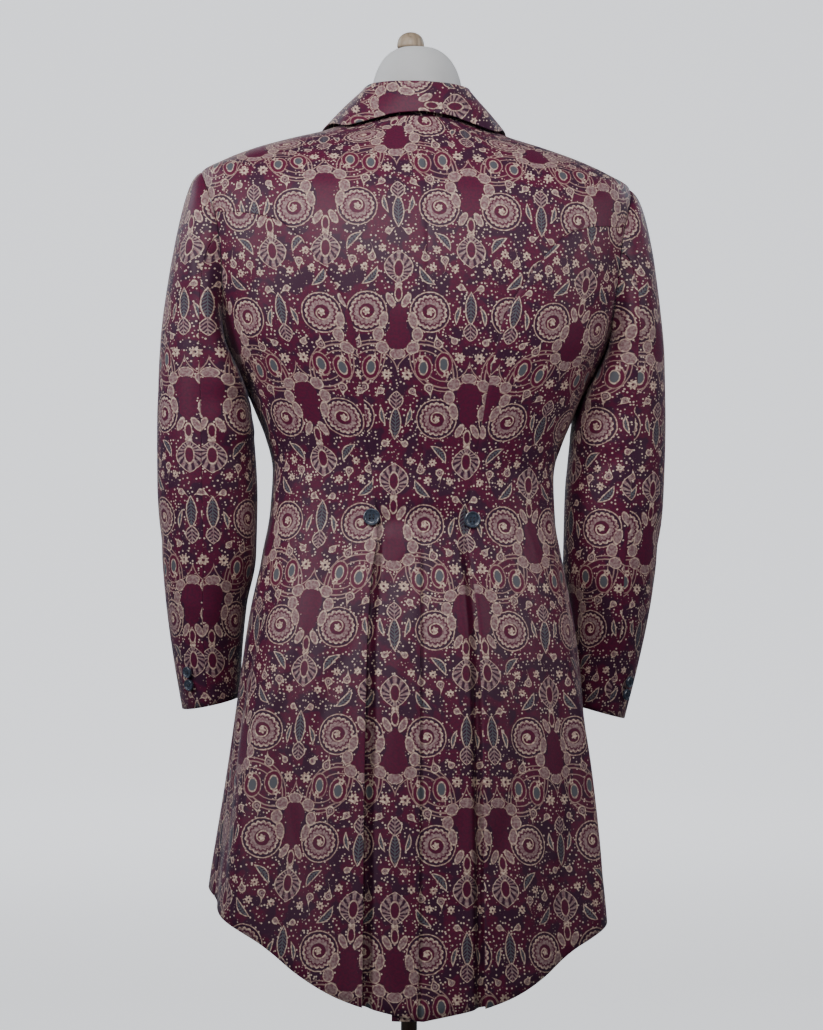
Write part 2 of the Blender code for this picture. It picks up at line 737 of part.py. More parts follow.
def stand():
    turned("base_disc", (
        (BASE_RADIUS - 0.002, 0.0), (BASE_RADIUS, 0.002), (BASE_RADIUS, BASE_THICK - 0.003),
        (BASE_RADIUS - 0.003, BASE_THICK), (0.026, BASE_THICK + 0.004),
    ), (0.07, 0.045, 0.03), 0.4)
    turned("pole", (
        (0.0160, BASE_THICK + 0.0043), (0.0160, 0.034), (POLE_RADIUS, 0.042), (POLE_RADIUS, FORM_BOTTOM - 0.0006),
    ), (0.07, 0.045, 0.03), 0.4)
    top = NECK_TOP + 0.0008
    turned("finial", (
        (FINIAL_RADIUS - 0.001, top), (FINIAL_RADIUS, top + 0.002), (FINIAL_RADIUS * 0.96, top + 0.008),
        (FINIAL_RADIUS * 0.78, top + 0.0135), (FINIAL_RADIUS * 0.45, top + 0.0175), (0.002, top + FINIAL_HEIGHT),
    ), (0.45, 0.36, 0.27), 0.45, x=-0.002)


def button(name, centre, out, diameter):
    """Four-hole button with a raised rim and a dished middle, flat at the back."""
    out = np.array(out, float) / np.linalg.norm(out)
    across = np.cross([0, 0, 1.0], out)
    across = across / np.linalg.norm(across)
    up = np.cross(out, across)
    r = diameter / 2
    t = BUTTON_THICK
    profile = ((r * 0.86, 0.0), (r, t * 0.45), (r * 0.95, t * 0.95), (r * 0.82, t), (r * 0.66, t * 0.68))
    angles = np.radians(np.arange(0, 360, 22.5))
    centre = lean(np.array(centre, float))
    rings = []
    for radius, height in profile:
        rings.append(centre + out * height + radius * (
            np.cos(angles)[:, None] * across + np.sin(angles)[:, None] * up))
    body = loft(name, rings, (0.075, 0.085, 0.12), 0.3)
    holes = bpy.data.collections["cutters"]
    for k, (sx, sy) in enumerate(((1, 1), (1, -1), (-1, 1), (-1, -1))):
        spot = centre + (across * sx + up * sy) * diameter * 0.105
        bpy.ops.mesh.primitive_cylinder_add(vertices=6, radius=diameter * 0.055, depth=3 * t)
        hole = bpy.context.object
        hole.name = f"{name}_hole_{k + 1}"
        hole.location = tuple(spot + out * t / 2)
        from_up = np.array([0, 0, 1.0])
        axis = np.cross(from_up, out)
        angle = math.acos(float(np.clip(np.dot(from_up, out), -1, 1)))
        hole.rotation_mode = "AXIS_ANGLE"
        hole.rotation_axis_angle = (angle, *map(float, axis / np.linalg.norm(axis)))
        for owner in list(hole.users_collection):
            owner.objects.unlink(hole)
        holes.objects.link(hole)
        hole.hide_render = True
        hole.display_type = "WIRE"
        cut = body.modifiers.new(f"hole_{k + 1}", "BOOLEAN")
        cut.object = hole
        cut.operation = "DIFFERENCE"


def buttons():
    for side, word in ((1, "left"), (-1, "right")):
        z = np.array(1.0560)
        angle = angle_at(0.0590, z)
        out = normal_at(angle, z) * np.array([side, 1, 1])
        spot = on_ring(angle, z) * np.array([side, 1, 1])
        button(f"waist_button_{word}", spot + out * (WALL / 2 + 0.0006), out, WAIST_BUTTON)
        rows = sleeve_rings()
        for number, rise in enumerate(CUFF_BUTTON_RISE):
            height = rows[-1][1] + rise
            row = np.array([np.interp(-height, -rows[:, 1], rows[:, c]) for c in range(7)])
            turn = math.radians(HINDARM - 30)
            spot = sleeve_point(row, np.array(turn))
            near = sleeve_point(row, np.array(turn + 0.05)) - sleeve_point(row, np.array(turn - 0.05))
            out = np.cross(near, np.array([0.0, 0.2, 1.0]))
            if out[0] < 0:
                out = -out
            out = out / np.linalg.norm(out)
            spot = spot * np.array([side, 1, 1])
            out = out * np.array([side, 1, 1])
            button(f"cuff_button_{word}_{number + 1}", spot + out * (WALL / 2 + 0.0014), out, CUFF_BUTTON)
    for number, height in enumerate(FRONT_BUTTONS):
        z = np.array(height)
        angle = angle_at(0.0, z, front=True)
        out = normal_at(angle, z)
        button(f"front_button_{number + 1}", on_ring(angle, z) + out * (LAYER * 1.1 + WALL / 2 + 0.0006), out, WAIST_BUTTON)


clear_scene()
COLLECTION = bpy.data.collections.new("frock_coat")
bpy.context.scene.collection.children.link(COLLECTION)
CUTTERS = bpy.data.collections.new("cutters")
bpy.context.scene.collection.children.link(CUTTERS)
BURGUNDY = (0.125, 0.030, 0.050)

both_sides("back", back, BURGUNDY, exact=True)
both_sides("side_back", side_back, BURGUNDY, exact=True)
both_sides("pleat", pleat, BURGUNDY, exact=True)
both_sides("forepart", forepart, BURGUNDY, exact=True)
both_sides("lapel", lapel, BURGUNDY)
both_sides("top_sleeve", top_sleeve, BURGUNDY, ghosts=1)
both_sides("under_sleeve", under_sleeve, BURGUNDY, ghosts=1)
collar()
form_torso()
form_neck()
stand()
buttons()
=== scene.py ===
import math

import bpy
import numpy as np
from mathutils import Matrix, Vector


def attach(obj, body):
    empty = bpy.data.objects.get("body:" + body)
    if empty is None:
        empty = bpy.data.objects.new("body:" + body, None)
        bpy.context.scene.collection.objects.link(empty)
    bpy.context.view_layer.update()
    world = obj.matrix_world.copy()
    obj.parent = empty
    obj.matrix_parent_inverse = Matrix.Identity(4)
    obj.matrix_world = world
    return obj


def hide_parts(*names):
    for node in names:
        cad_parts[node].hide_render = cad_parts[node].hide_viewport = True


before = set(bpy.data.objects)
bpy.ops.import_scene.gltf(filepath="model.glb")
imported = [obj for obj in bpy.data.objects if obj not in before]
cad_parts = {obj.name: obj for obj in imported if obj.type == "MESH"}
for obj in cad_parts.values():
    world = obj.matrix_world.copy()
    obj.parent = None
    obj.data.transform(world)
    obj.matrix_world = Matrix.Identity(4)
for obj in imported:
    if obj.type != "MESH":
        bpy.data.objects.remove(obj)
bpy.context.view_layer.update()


# Backs: left and right back, each cut in one with its centre tail from paisley brocade.
# A seam joins them down the centre as far as the vent, where the left tail laps over the right.
# Each tail is drawn in beside the pleat that the side back folds over it.
WALL = 0.0018
CLOTH = 0.0016
SEAM_DIP = 0.0009
SEAM_WIDE = 0.0022
SEAM = 0.0
LAYER = 0.0025

# How the dressed form leans against its upright pole
LEAN_UP = 0.028
LEAN_ACROSS = -0.010
LEAN_LEVEL = 0.58

# Sections of the coat round the body: height, half width, back, front and squareness
RINGS = (
    (1.5340, 0.0750, 0.0625, 0.0550, 2.0),
    (1.5185, 0.1156, 0.0700, 0.0600, 2.0),
    (1.5075, 0.1560, 0.0770, 0.0640, 2.1),
    (1.4935, 0.2000, 0.0860, 0.0710, 2.2),
    (1.4780, 0.2350, 0.0960, 0.0790, 2.4),
    (1.4630, 0.2590, 0.1050, 0.0880, 2.5),
    (1.4400, 0.2620, 0.1170, 0.1000, 2.6),
    (1.4000, 0.2590, 0.1290, 0.1170, 2.6),
    (1.3400, 0.2500, 0.1370, 0.1320, 2.6),
    (1.3000, 0.2400, 0.1375, 0.1370, 2.6),
    (1.2700, 0.2310, 0.1350, 0.1385, 2.6),
    (1.2400, 0.2185, 0.1310, 0.1385, 2.5),
    (1.1780, 0.1905, 0.1180, 0.1350, 2.4),
    (1.1480, 0.1785, 0.1110, 0.1320, 2.35),
    (1.1100, 0.1695, 0.1045, 0.1285, 2.3),
    (1.0600, 0.1720, 0.1030, 0.1265, 2.3),
    (1.0090, 0.1810, 0.1100, 0.1280, 2.3),
    (0.9330, 0.1960, 0.1280, 0.1320, 2.3),
    (0.8360, 0.2090, 0.1450, 0.1370, 2.25),
    (0.7000, 0.2260, 0.1590, 0.1440, 2.2),
    (0.6000, 0.2390, 0.1680, 0.1490, 2.2),
    (0.4700, 0.2540, 0.1760, 0.1560, 2.2),
)

# Armhole, an oval on the side of the body
ARMHOLE_TOP = 1.463
ARMHOLE_BOTTOM = 1.272
ARMHOLE_BACK = 0.066
ARMHOLE_FRONT = 0.070

# Seam to the side back: height and distance from the centre
SIDE_BACK = (
    (1.4120, 0.2455),
    (1.4090, 0.2150),
    (1.4040, 0.1860),
    (1.3960, 0.1660),
    (1.3680, 0.1390),
    (1.3360, 0.1160),
    (1.3110, 0.0990),
    (1.2740, 0.0840),
    (1.2100, 0.0740),
    (1.1350, 0.0640),
    (1.0600, 0.0540),
)

# Fold edge of the pleat below the waist button: height and distance from the centre
PLEAT = (
    (1.0600, 0.0540),
    (1.0300, 0.0530),
    (1.0080, 0.0570),
    (0.9620, 0.0625),
    (0.9160, 0.0655),
    (0.7900, 0.0685),
    (0.6750, 0.0700),
    (0.4700, 0.0710),
)

# How deep and wide the tail is drawn in beside the pleat, and how far the fold edge stands off
TUCK_DEEP = 0.0065
TUCK_MORE = 0.0050
TUCK_WIDE = 0.0070
PLEAT_PROUD = 0.0030

# Centre back, the seam and then the vent: height and distance from the middle
CENTRE = (
    (1.5340, 0.0000),
    (1.0600, 0.0010),
    (0.9600, 0.0030),
    (0.7900, 0.0050),
    (0.4700, 0.0070),
)
VENT_TOP = 1.056
VENT_DEEP = 1.030
VENT_LAP = 0.030

# Hem round half the skirt, from the centre back to the centre front: angle and height
HEM = (
    (-90.0, 0.6300),
    (-50.0, 0.6200),
    (-20.0, 0.6060),
    (0.0, 0.5960),
    (20.0, 0.5840),
    (40.0, 0.5600),
    (55.0, 0.5260),
    (70.0, 0.4980),
    (90.0, 0.4780),
)

# Folds of the skirt: angle at the hem, height, width, and where each starts
FOLDS = (
    (49.0, -0.0075, 9.0, 1.00),
    (29.0, 0.0085, 9.0, 0.98),
    (6.0, -0.0070, 9.0, 0.90),
    (-16.0, 0.0080, 9.0, 0.88),
    (-40.0, -0.0060, 10.0, 0.86),
    (-62.0, 0.0050, 9.0, 0.84),
)

PLEAT_UNDER = 0.024
# Rows of the bodice, and how far down the skirt each of its rows lies
ROWS_BODICE = 13
WAIST = 1.060
SKIRT_LEAST = 0.500
SKIRT_STEPS = (0.018, 0.036, 0.054, 0.078, 0.110, 0.165, 0.250, 0.360, 0.480, 0.610, 0.740, 0.870, 1.0)
FINER = 5

# Creases in the cloth: side, angle, height, tilt, length, width and depth
CREASES = (
    (1, 62.0, 1.172, 62.0, 0.045, 0.0065, -0.0018),
    (1, 52.0, 1.148, 55.0, 0.045, 0.0065, 0.0015),
    (1, 70.0, 1.120, 70.0, 0.040, 0.0060, -0.0012),
    (1, 40.0, 1.112, 40.0, 0.050, 0.0075, -0.0018),
    (1, 33.0, 1.085, 25.0, 0.045, 0.0075, 0.0015),
    (1, 24.0, 1.130, 20.0, 0.040, 0.0070, -0.0020),
    (1, 14.0, 1.205, 35.0, 0.045, 0.0090, -0.0028),
    (1, 22.0, 1.235, 48.0, 0.055, 0.0100, 0.0024),
    (0, 36.0, 1.300, 60.0, 0.060, 0.0120, -0.0020),
    (0, 58.0, 1.330, 75.0, 0.070, 0.0150, 0.0016),
    (0, 76.0, 1.250, 84.0, 0.070, 0.0130, -0.0012),
    (-1, 60.0, 1.160, 58.0, 0.045, 0.0065, -0.0016),
    (-1, 46.0, 1.125, 42.0, 0.050, 0.0075, 0.0018),
    (-1, 34.0, 1.100, 30.0, 0.045, 0.0075, -0.0020),
    (-1, 20.0, 1.150, 25.0, 0.045, 0.0080, -0.0022),
    (-1, 16.0, 1.215, 40.0, 0.050, 0.0095, -0.0026),
    (0, 44.0, 1.025, 72.0, 0.045, 0.0085, 0.0014),
    (0, 56.0, 0.985, 80.0, 0.060, 0.0095, -0.0016),
    (0, 20.0, 0.960, 78.0, 0.070, 0.0110, -0.0018),
    (1, 56.0, 0.800, 84.0, 0.190, 0.0110, -0.0044),
    (1, 43.0, 0.760, 96.0, 0.180, 0.0130, -0.0040),
    (1, 30.0, 0.740, 88.0, 0.190, 0.0130, 0.0036),
    (1, 63.0, 0.700, 90.0, 0.150, 0.0090, 0.0022),
    (1, 12.0, 0.760, 92.0, 0.200, 0.0140, -0.0038),
    (-1, 58.0, 0.780, 96.0, 0.200, 0.0120, -0.0046),
    (-1, 47.0, 0.720, 86.0, 0.160, 0.0120, 0.0030),
    (-1, 36.0, 0.760, 92.0, 0.190, 0.0130, -0.0042),
    (-1, 24.0, 0.740, 90.0, 0.190, 0.0130, 0.0038),
    (-1, 8.0, 0.750, 88.0, 0.190, 0.0140, -0.0036),
    (1, 80.0, 0.820, 91.0, 0.150, 0.0075, 0.0013),
    (-1, 77.0, 0.760, 89.0, 0.170, 0.0080, -0.0014),
    (0, -30.0, 0.760, 90.0, 0.180, 0.0140, -0.0036),
    (0, -50.0, 0.740, 92.0, 0.180, 0.0140, 0.0034),
    (0, -20.0, 1.170, -30.0, 0.045, 0.0090, -0.0018),
    (0, -35.0, 1.120, -20.0, 0.045, 0.0090, -0.0016),
    (0, -55.0, 1.090, -12.0, 0.050, 0.0090, 0.0014),
    (0, -40.0, 1.330, -70.0, 0.070, 0.0140, -0.0016),
)


def slopes(x, y):
    """Slopes of a curve through the points that never overshoots them."""
    step = np.diff(x)
    rise = np.diff(y) / step
    found = np.zeros(len(x))
    found[0] = rise[0]
    found[-1] = rise[-1]
    for i in range(1, len(x) - 1):
        if rise[i - 1] * rise[i] > 0:
            one = 2 * step[i] + step[i - 1]
            two = step[i] + 2 * step[i - 1]
            found[i] = (one + two) / (one / rise[i - 1] + two / rise[i])
    return found


def through(table, column, at):
    """One column of a table, read smoothly at any value of its first column."""
    rows = np.array(table, float)
    rows = rows[np.argsort(rows[:, 0])]
    x = rows[:, 0]
    y = rows[:, column]
    slope = slopes(x, y)
    at = np.clip(np.asarray(at, float), x[0], x[-1])
    i = np.clip(np.searchsorted(x, at, side="right") - 1, 0, len(x) - 2)
    step = x[i + 1] - x[i]
    u = (at - x[i]) / step
    return (
        (1 + 2 * u) * (1 - u) ** 2 * y[i]
        + u * (1 - u) ** 2 * step * slope[i]
        + u * u * (3 - 2 * u) * y[i + 1]
        + u * u * (u - 1) * step * slope[i + 1]
    )


def ease(value):
    value = np.clip(value, 0.0, 1.0)
    return value * value * (3 - 2 * value)


def on_ring(angle, z):
    """Point of the body surface at an angle round its section; 90 degrees is the centre back."""
    width = through(RINGS, 1, z)
    power = through(RINGS, 4, z)
    cos = np.cos(angle)
    sin = np.sin(angle)
    depth = np.where(sin > 0, through(RINGS, 2, z), through(RINGS, 3, z))
    reach = (np.abs(cos) ** power + np.abs(sin) ** power) ** (1 / power)
    return np.stack([width * cos / reach, depth * sin / reach, np.asarray(z) + 0 * cos], axis=-1)


def normal_at(angle, z):
    turn = 0.004
    rise = 0.0008
    high = np.minimum(np.asarray(z) + rise, RINGS[0][0])
    low = high - 2 * rise
    along = on_ring(angle + turn, z) - on_ring(angle - turn, z)
    up = on_ring(angle, high) - on_ring(angle, low)
    out = np.cross(along, up)
    return out / np.linalg.norm(out, axis=-1, keepdims=True)


def angle_at(across, z, front=False):
    """Angle at which the section at this height is that far from the middle."""
    power = through(RINGS, 4, z)
    part = np.clip(np.abs(across) / through(RINGS, 1, z), 0, 1)
    rest = (1 - part**power) ** (1 / power)
    return np.arctan2(-rest if front else rest, part * np.where(np.asarray(across) < 0, -1, 1))


def armhole(turn):
    """Angle and height on the armhole oval; 0 at the top, half a circle at the bottom by way of the back."""
    middle = (ARMHOLE_TOP + ARMHOLE_BOTTOM) / 2
    half = (ARMHOLE_TOP - ARMHOLE_BOTTOM) / 2
    z = middle + half * np.cos(turn)
    side = np.sin(turn)
    y = np.where(side > 0, ARMHOLE_BACK, ARMHOLE_FRONT) * side
    power = through(RINGS, 4, z)
    depth = np.where(y > 0, through(RINGS, 2, z), through(RINGS, 3, z))
    part = np.clip(np.abs(y) / depth, 0, 1)
    return np.arctan2(part * np.sign(y), (1 - part**power) ** (1 / power)), z


def hem_at(angle):
    return through(HEM, 1, np.degrees(angle))


def folds_at(angle, z):
    """Height of the soft folds at a place on the skirt."""
    total = np.zeros(np.broadcast(angle, z).shape)
    for place, height, width, start in FOLDS:
        grown = ease((start - z) / (start - 0.56))
        total = total + height * grown * np.exp(-(((np.degrees(angle) - place) / width) ** 2))
    return total


def lean(points):
    points = np.array(points, float)
    x = points[..., 0].copy()
    z = points[..., 2].copy()
    points[..., 0] = x + LEAN_ACROSS * (z - LEAN_LEVEL)
    points[..., 2] = z + LEAN_UP * x
    return points


def smooth_rows(table, count):
    """A table's rows read as smooth curves through their points."""
    rows = np.array(table)
    keys = np.arange(len(rows), dtype=float)
    keyed = np.column_stack([keys, rows])
    at = np.linspace(0, len(rows) - 1, count)
    return np.column_stack([through(keyed, c + 1, at) for c in range(rows.shape[1])])


def flat_tables():
    """Distance round the body from the centre back, and along it from the waist, on a grid of angle and height."""
    angles = np.radians(np.linspace(-110, 110, 221))
    heights = np.linspace(1.534, 0.46, 270)
    points = on_ring(angles[None, :], heights[:, None])
    round_step = np.linalg.norm(np.diff(points, axis=1), axis=2)
    around = np.concatenate([np.zeros((len(heights), 1)), np.cumsum(round_step, axis=1)], axis=1)
    middle = int(np.argmin(np.abs(angles - math.pi / 2)))
    around = around[:, middle : middle + 1] - around
    down_step = np.linalg.norm(np.diff(points, axis=0), axis=2)
    along = np.concatenate([np.zeros((1, len(angles))), -np.cumsum(down_step, axis=0)], axis=0)
    waist = int(np.argmin(np.abs(heights - WAIST)))
    return angles, heights, around, along - along[waist]


def read_grid(table, angle, z):
    """Value of a table over the flat grid, read between its points."""
    angles, heights = FLAT[0], FLAT[1]
    i = np.clip((heights[0] - z) / (heights[0] - heights[1]), 0, len(heights) - 1.001)
    j = np.clip((angle - angles[0]) / (angles[1] - angles[0]), 0, len(angles) - 1.001)
    low, left = i.astype(int), j.astype(int)
    s, t = i - low, j - left
    upper = table[low, left] * (1 - t) + table[low, left + 1] * t
    lower = table[low + 1, left] * (1 - t) + table[low + 1, left + 1] * t
    return upper * (1 - s) + lower * s


def flat_place(angle, z, grain):
    """Place on the flat cloth, in metres, of a point of the body; the grain runs down at the named angle."""
    around = read_grid(FLAT[2], angle, z)
    line = math.radians(grain) + 0 * angle
    straight = read_grid(FLAT[2], line, z)
    fixed = read_grid(FLAT[2], np.array([math.radians(grain)]), np.array([WAIST]))
    return np.stack([around - straight + fixed, read_grid(FLAT[3], angle, z)], -1)


def creases_at(angle, z, side):
    """Height of the listed creases at a place on one side of the body."""
    total = np.zeros(np.broadcast(angle, z).shape)
    for half, place, level, tilt, length, width, depth in CREASES:
        if half * side < 0:
            continue
        across = (np.degrees(angle) - place) * 0.0031
        up = z - level
        cos = math.cos(math.radians(tilt))
        sin = math.sin(math.radians(tilt))
        along = across * cos + up * sin
        off = up * cos - across * sin + 1.5 * along * along
        total = total + depth * np.exp(-((off / width) ** 2) - (along / length) ** 2)
    return total


def fine_shares(count):
    """Even shares from 0 to 1, closer together beside both edges."""
    even = np.linspace(0, 1, count)
    return np.unique(np.concatenate([even, [0.005, 0.013, 0.987, 0.995]]))


def patch(left, right, columns, skirt_from, lift, side, grain):
    """Fine panel on the body surface between two edges given as rows of angle and height."""
    share = np.zeros(len(left))
    share[skirt_from:] = SKIRT_STEPS[-(len(left) - skirt_from):]
    rows = (len(left) - 1) * FINER + 1
    table = smooth_rows(np.column_stack([left, right, share]), rows)
    u = fine_shares((columns - 1) * FINER + 1)
    angle = table[:, :1] * (1 - u) + table[:, 2:3] * u
    z = table[:, 1:2] * (1 - u) + table[:, 3:4] * u
    down = table[:, 4:5]
    z = np.where(down > 0, WAIST + (hem_at(angle) - WAIST) * down, z)

    def place(turn, height):
        rise = lift(turn, height) + creases_at(turn, height, side)
        return on_ring(turn, height) + normal_at(turn, height) * rise[..., None]

    high = np.minimum(z + 0.0008, RINGS[0][0])
    along = place(angle + 0.003, z) - place(angle - 0.003, z)
    out = np.cross(along, place(angle, high) - place(angle, high - 0.0016))
    out = out / np.linalg.norm(out, axis=2, keepdims=True)
    grid = place(angle, z)
    width = np.linalg.norm(np.diff(grid, axis=1), axis=2).sum(1, keepdims=True)
    near = np.minimum(u, 1 - u) * width
    grid = grid - out * (SEAM_DIP * np.exp(-((near / SEAM_WIDE) ** 2)))[..., None]
    return grid, out, flat_place(angle, z, grain)


def grid_normals(grid):
    down = np.gradient(grid, axis=0)
    across = np.gradient(grid, axis=1)
    out = np.cross(across, down)
    return out / np.linalg.norm(out, axis=2, keepdims=True)


def tuck(x, z, side):
    """Depth to which the tail is drawn in beside the pleat's fold edge, and beside the vent on the right."""
    deep = TUCK_DEEP * ease((1.046 - z) / 0.06) + TUCK_MORE * ease((0.905 - z) / 0.06)
    found = deep * np.exp(-(((x - through(PLEAT, 1, z) + 0.002) / TUCK_WIDE) ** 2))
    if side < 0:
        vent = np.exp(-(((x + through(CENTRE, 1, z) + 0.001) / 0.0045) ** 2))
        found = found + 0.0035 * vent * ease((VENT_DEEP - z) / 0.04)
    return found


def pleat_rise(angle, z):
    """How far the pleat's fold edge stands off the tail."""
    x = on_ring(angle, z)[..., 0]
    near = np.exp(-(((x - through(PLEAT, 1, z)) / 0.011) ** 2))
    return PLEAT_PROUD * near * ease((1.046 - z) / 0.07)


def edge_gap(angle, z, toward):
    """The angle moved by half a seam gap."""
    reach = np.linalg.norm(on_ring(angle, z)[..., :2], axis=-1)
    return angle + toward * (SEAM + 0.0001) / reach


def seam_rows(toward):
    """Heights and distances along the side-back seam, at even steps, moved half its gap out (1) or in (-1)."""
    fine = np.linspace(0, 1, 400)
    rows = np.array(SIDE_BACK, float)
    length = np.concatenate([[0], np.cumsum(np.hypot(*np.diff(rows, axis=0).T))])
    z = np.interp(fine, length / length[-1], rows[:, 0])
    across = np.interp(fine, length / length[-1], rows[:, 1])
    kernel = np.ones(25) / 25
    padded = np.concatenate([np.full(12, z[0]), z, np.full(12, z[-1])])
    z = np.convolve(padded, kernel, "valid") + 0 * z
    padded = np.concatenate([np.full(12, across[0]), across, np.full(12, across[-1])])
    across = np.convolve(padded, kernel, "valid")
    z[0], z[-1] = rows[0, 0], rows[-1, 0]
    across[0], across[-1] = rows[0, 1], rows[-1, 1]
    pick = np.round(np.linspace(0, 399, ROWS_BODICE)).astype(int)
    z, across = z[pick], across[pick]
    run_x = np.gradient(across)
    run_z = np.gradient(z)
    length = np.hypot(run_x, run_z)
    across = across - toward * run_z / length * (SEAM + 0.0001)
    z = z + toward * run_x / length * (SEAM + 0.0001)
    return z, across


def skirt_levels():
    """Heights of the skirt's rows at the pleat, before the hem shapes them."""
    return WAIST - (WAIST - SKIRT_LEAST) * np.array(SKIRT_STEPS)


def recess(z):
    """How far the centre tails lie beneath the pleats."""
    return 2 * LAYER * ease((1.085 - z) / (1.085 - 1.050))


def back(side):
    """Back with its tail: neck, shoulder seam, armhole, side-back seam, then under the pleat to the hem."""
    upper = np.array([1.5340, 1.5260, 1.5185, 1.5075, 1.4935, 1.4780, 1.4700])
    turns = np.array([0.10, 0.45, 0.72, 0.95])
    hole_angle, hole_z = armhole(turns)
    seam_z, seam_x = seam_rows(-1)
    skirt = skirt_levels()
    under = PLEAT_UNDER * ease((1.052 - skirt) / 0.022)
    skirt_x = through(PLEAT, 1, skirt) + under
    outer_z = np.concatenate([upper, hole_z, seam_z, skirt])
    outer_angle = np.concatenate([
        edge_gap(np.zeros(len(upper)), upper, 1) + 0.003,
        edge_gap(hole_angle, hole_z, 1),
        angle_at(seam_x, seam_z),
        angle_at(skirt_x, skirt),
    ])
    inner_z = np.concatenate([upper[:4], np.linspace(1.4950, 1.4200, len(upper)), seam_z, skirt])
    centre = through(CENTRE, 1, inner_z)
    lap = ease((VENT_DEEP - 0.002 - inner_z) / 0.02) * VENT_LAP if side < 0 else 0 * inner_z
    inner_angle = angle_at((centre if side > 0 else -centre - lap), inner_z)
    inner_angle = edge_gap(inner_angle, inner_z, -1)

    def lift(angle, z):
        x = on_ring(angle, z)[..., 0]
        raised = 0 * x
        if side > 0:
            raised = LAYER * ease((VENT_TOP - z) / (VENT_TOP - VENT_DEEP)) * ease((0.056 - x) / 0.020)
        return raised - recess(z) - tuck(x, z, side) + folds_at(angle, z) * ease((x - 0.06) / 0.02)

    return patch(
        np.stack([inner_angle, inner_z], 1),
        np.stack([outer_angle, outer_z], 1),
        9,
        len(outer_z) - len(SKIRT_STEPS),
        lift,
        side,
        90.0,
    )


def calc(tree, operation, *values, clamp=False):
    """One math node on sockets and numbers; gives its result."""
    node = tree.nodes.new("ShaderNodeMath")
    node.operation = operation
    node.use_clamp = clamp
    for socket, value in zip(node.inputs, values):
        if isinstance(value, (int, float)):
            socket.default_value = value
        else:
            tree.links.new(value, socket)
    return node.outputs[0]


def soft_step(tree, value, edge, soft):
    """1 below the edge and 0 above it, with a soft change between them."""
    node = tree.nodes.new("ShaderNodeMapRange")
    node.interpolation_type = "SMOOTHSTEP"
    tree.links.new(value, node.inputs["Value"])
    node.inputs["From Min"].default_value = edge - soft
    node.inputs["From Max"].default_value = edge + soft
    node.inputs["To Min"].default_value = 1.0
    node.inputs["To Max"].default_value = 0.0
    return node.outputs["Result"]


def line_at(tree, value, centre, half):
    """Thin woven line where the value passes the centre."""
    off = calc(tree, "ABSOLUTE", calc(tree, "SUBTRACT", value, centre))
    return soft_step(tree, off, half, half * 0.5)


def turned_place(tree, x, y, centre_x, centre_y, tilt):
    """Coordinates about a motif's middle, turned by its tilt."""
    cos = math.cos(math.radians(tilt))
    sin = math.sin(math.radians(tilt))
    dx = calc(tree, "SUBTRACT", x, centre_x)
    dy = calc(tree, "SUBTRACT", y, centre_y)
    across = calc(tree, "ADD", calc(tree, "MULTIPLY", dx, cos), calc(tree, "MULTIPLY", dy, sin))
    along = calc(tree, "SUBTRACT", calc(tree, "MULTIPLY", dy, cos), calc(tree, "MULTIPLY", dx, sin))
    return across, along


def length_of(tree, x, y):
    squares = calc(tree, "ADD", calc(tree, "MULTIPLY", x, x), calc(tree, "MULTIPLY", y, y))
    return calc(tree, "SQRT", squares)


def most(tree, *values):
    found = values[0]
    for value in values[1:]:
        found = calc(tree, "MAXIMUM", found, value)
    return found


def add_rosette(tree, x, y, row):
    """Ring scroll: a thin outer ring, two scalloped rings, a curl and a small flower in the middle."""
    centre_x, centre_y, radius, lobes = row
    across, along = turned_place(tree, x, y, centre_x, centre_y, 0)
    away = length_of(tree, across, along)
    turn = calc(tree, "ARCTAN2", along, across)
    wave = calc(tree, "ABSOLUTE", calc(tree, "SINE", calc(tree, "MULTIPLY", turn, lobes / 2)))
    scallop = calc(tree, "SUBTRACT", away, calc(tree, "MULTIPLY", wave, radius * 0.09))
    spiral = calc(tree, "ADD", away, calc(tree, "MULTIPLY", turn, radius * 0.052))
    thin = line_at(tree, away, radius, 0.0006)
    outer = line_at(tree, scallop, radius * 0.74, 0.0008)
    inner = line_at(tree, scallop, radius * 0.50, 0.0009)
    curl = calc(tree, "MULTIPLY", line_at(tree, spiral, radius * 0.26, 0.0008), soft_step(tree, away, radius * 0.44, 0.0008))
    petals = calc(tree, "MULTIPLY", calc(tree, "COSINE", calc(tree, "MULTIPLY", turn, 5.0)), radius * 0.035)
    flower = soft_step(tree, calc(tree, "SUBTRACT", away, petals), radius * 0.15, 0.0005)
    disc = soft_step(tree, away, radius * 0.96, 0.0006)
    band = line_at(tree, away, radius * 0.90, 0.0011)
    fill = soft_step(tree, scallop, radius * 0.72, 0.0006)
    blush = line_at(tree, scallop, radius * 0.60, 0.0010)
    stone = calc(tree, "SUBTRACT", fill, most(tree, blush, soft_step(tree, away, radius * 0.40, 0.0006)), clamp=True)
    gold = most(tree, outer, curl, flower, calc(tree, "MULTIPLY", thin, 0.85))
    return {"gold": gold, "stone": most(tree, inner, stone), "dark": band, "disc": disc}


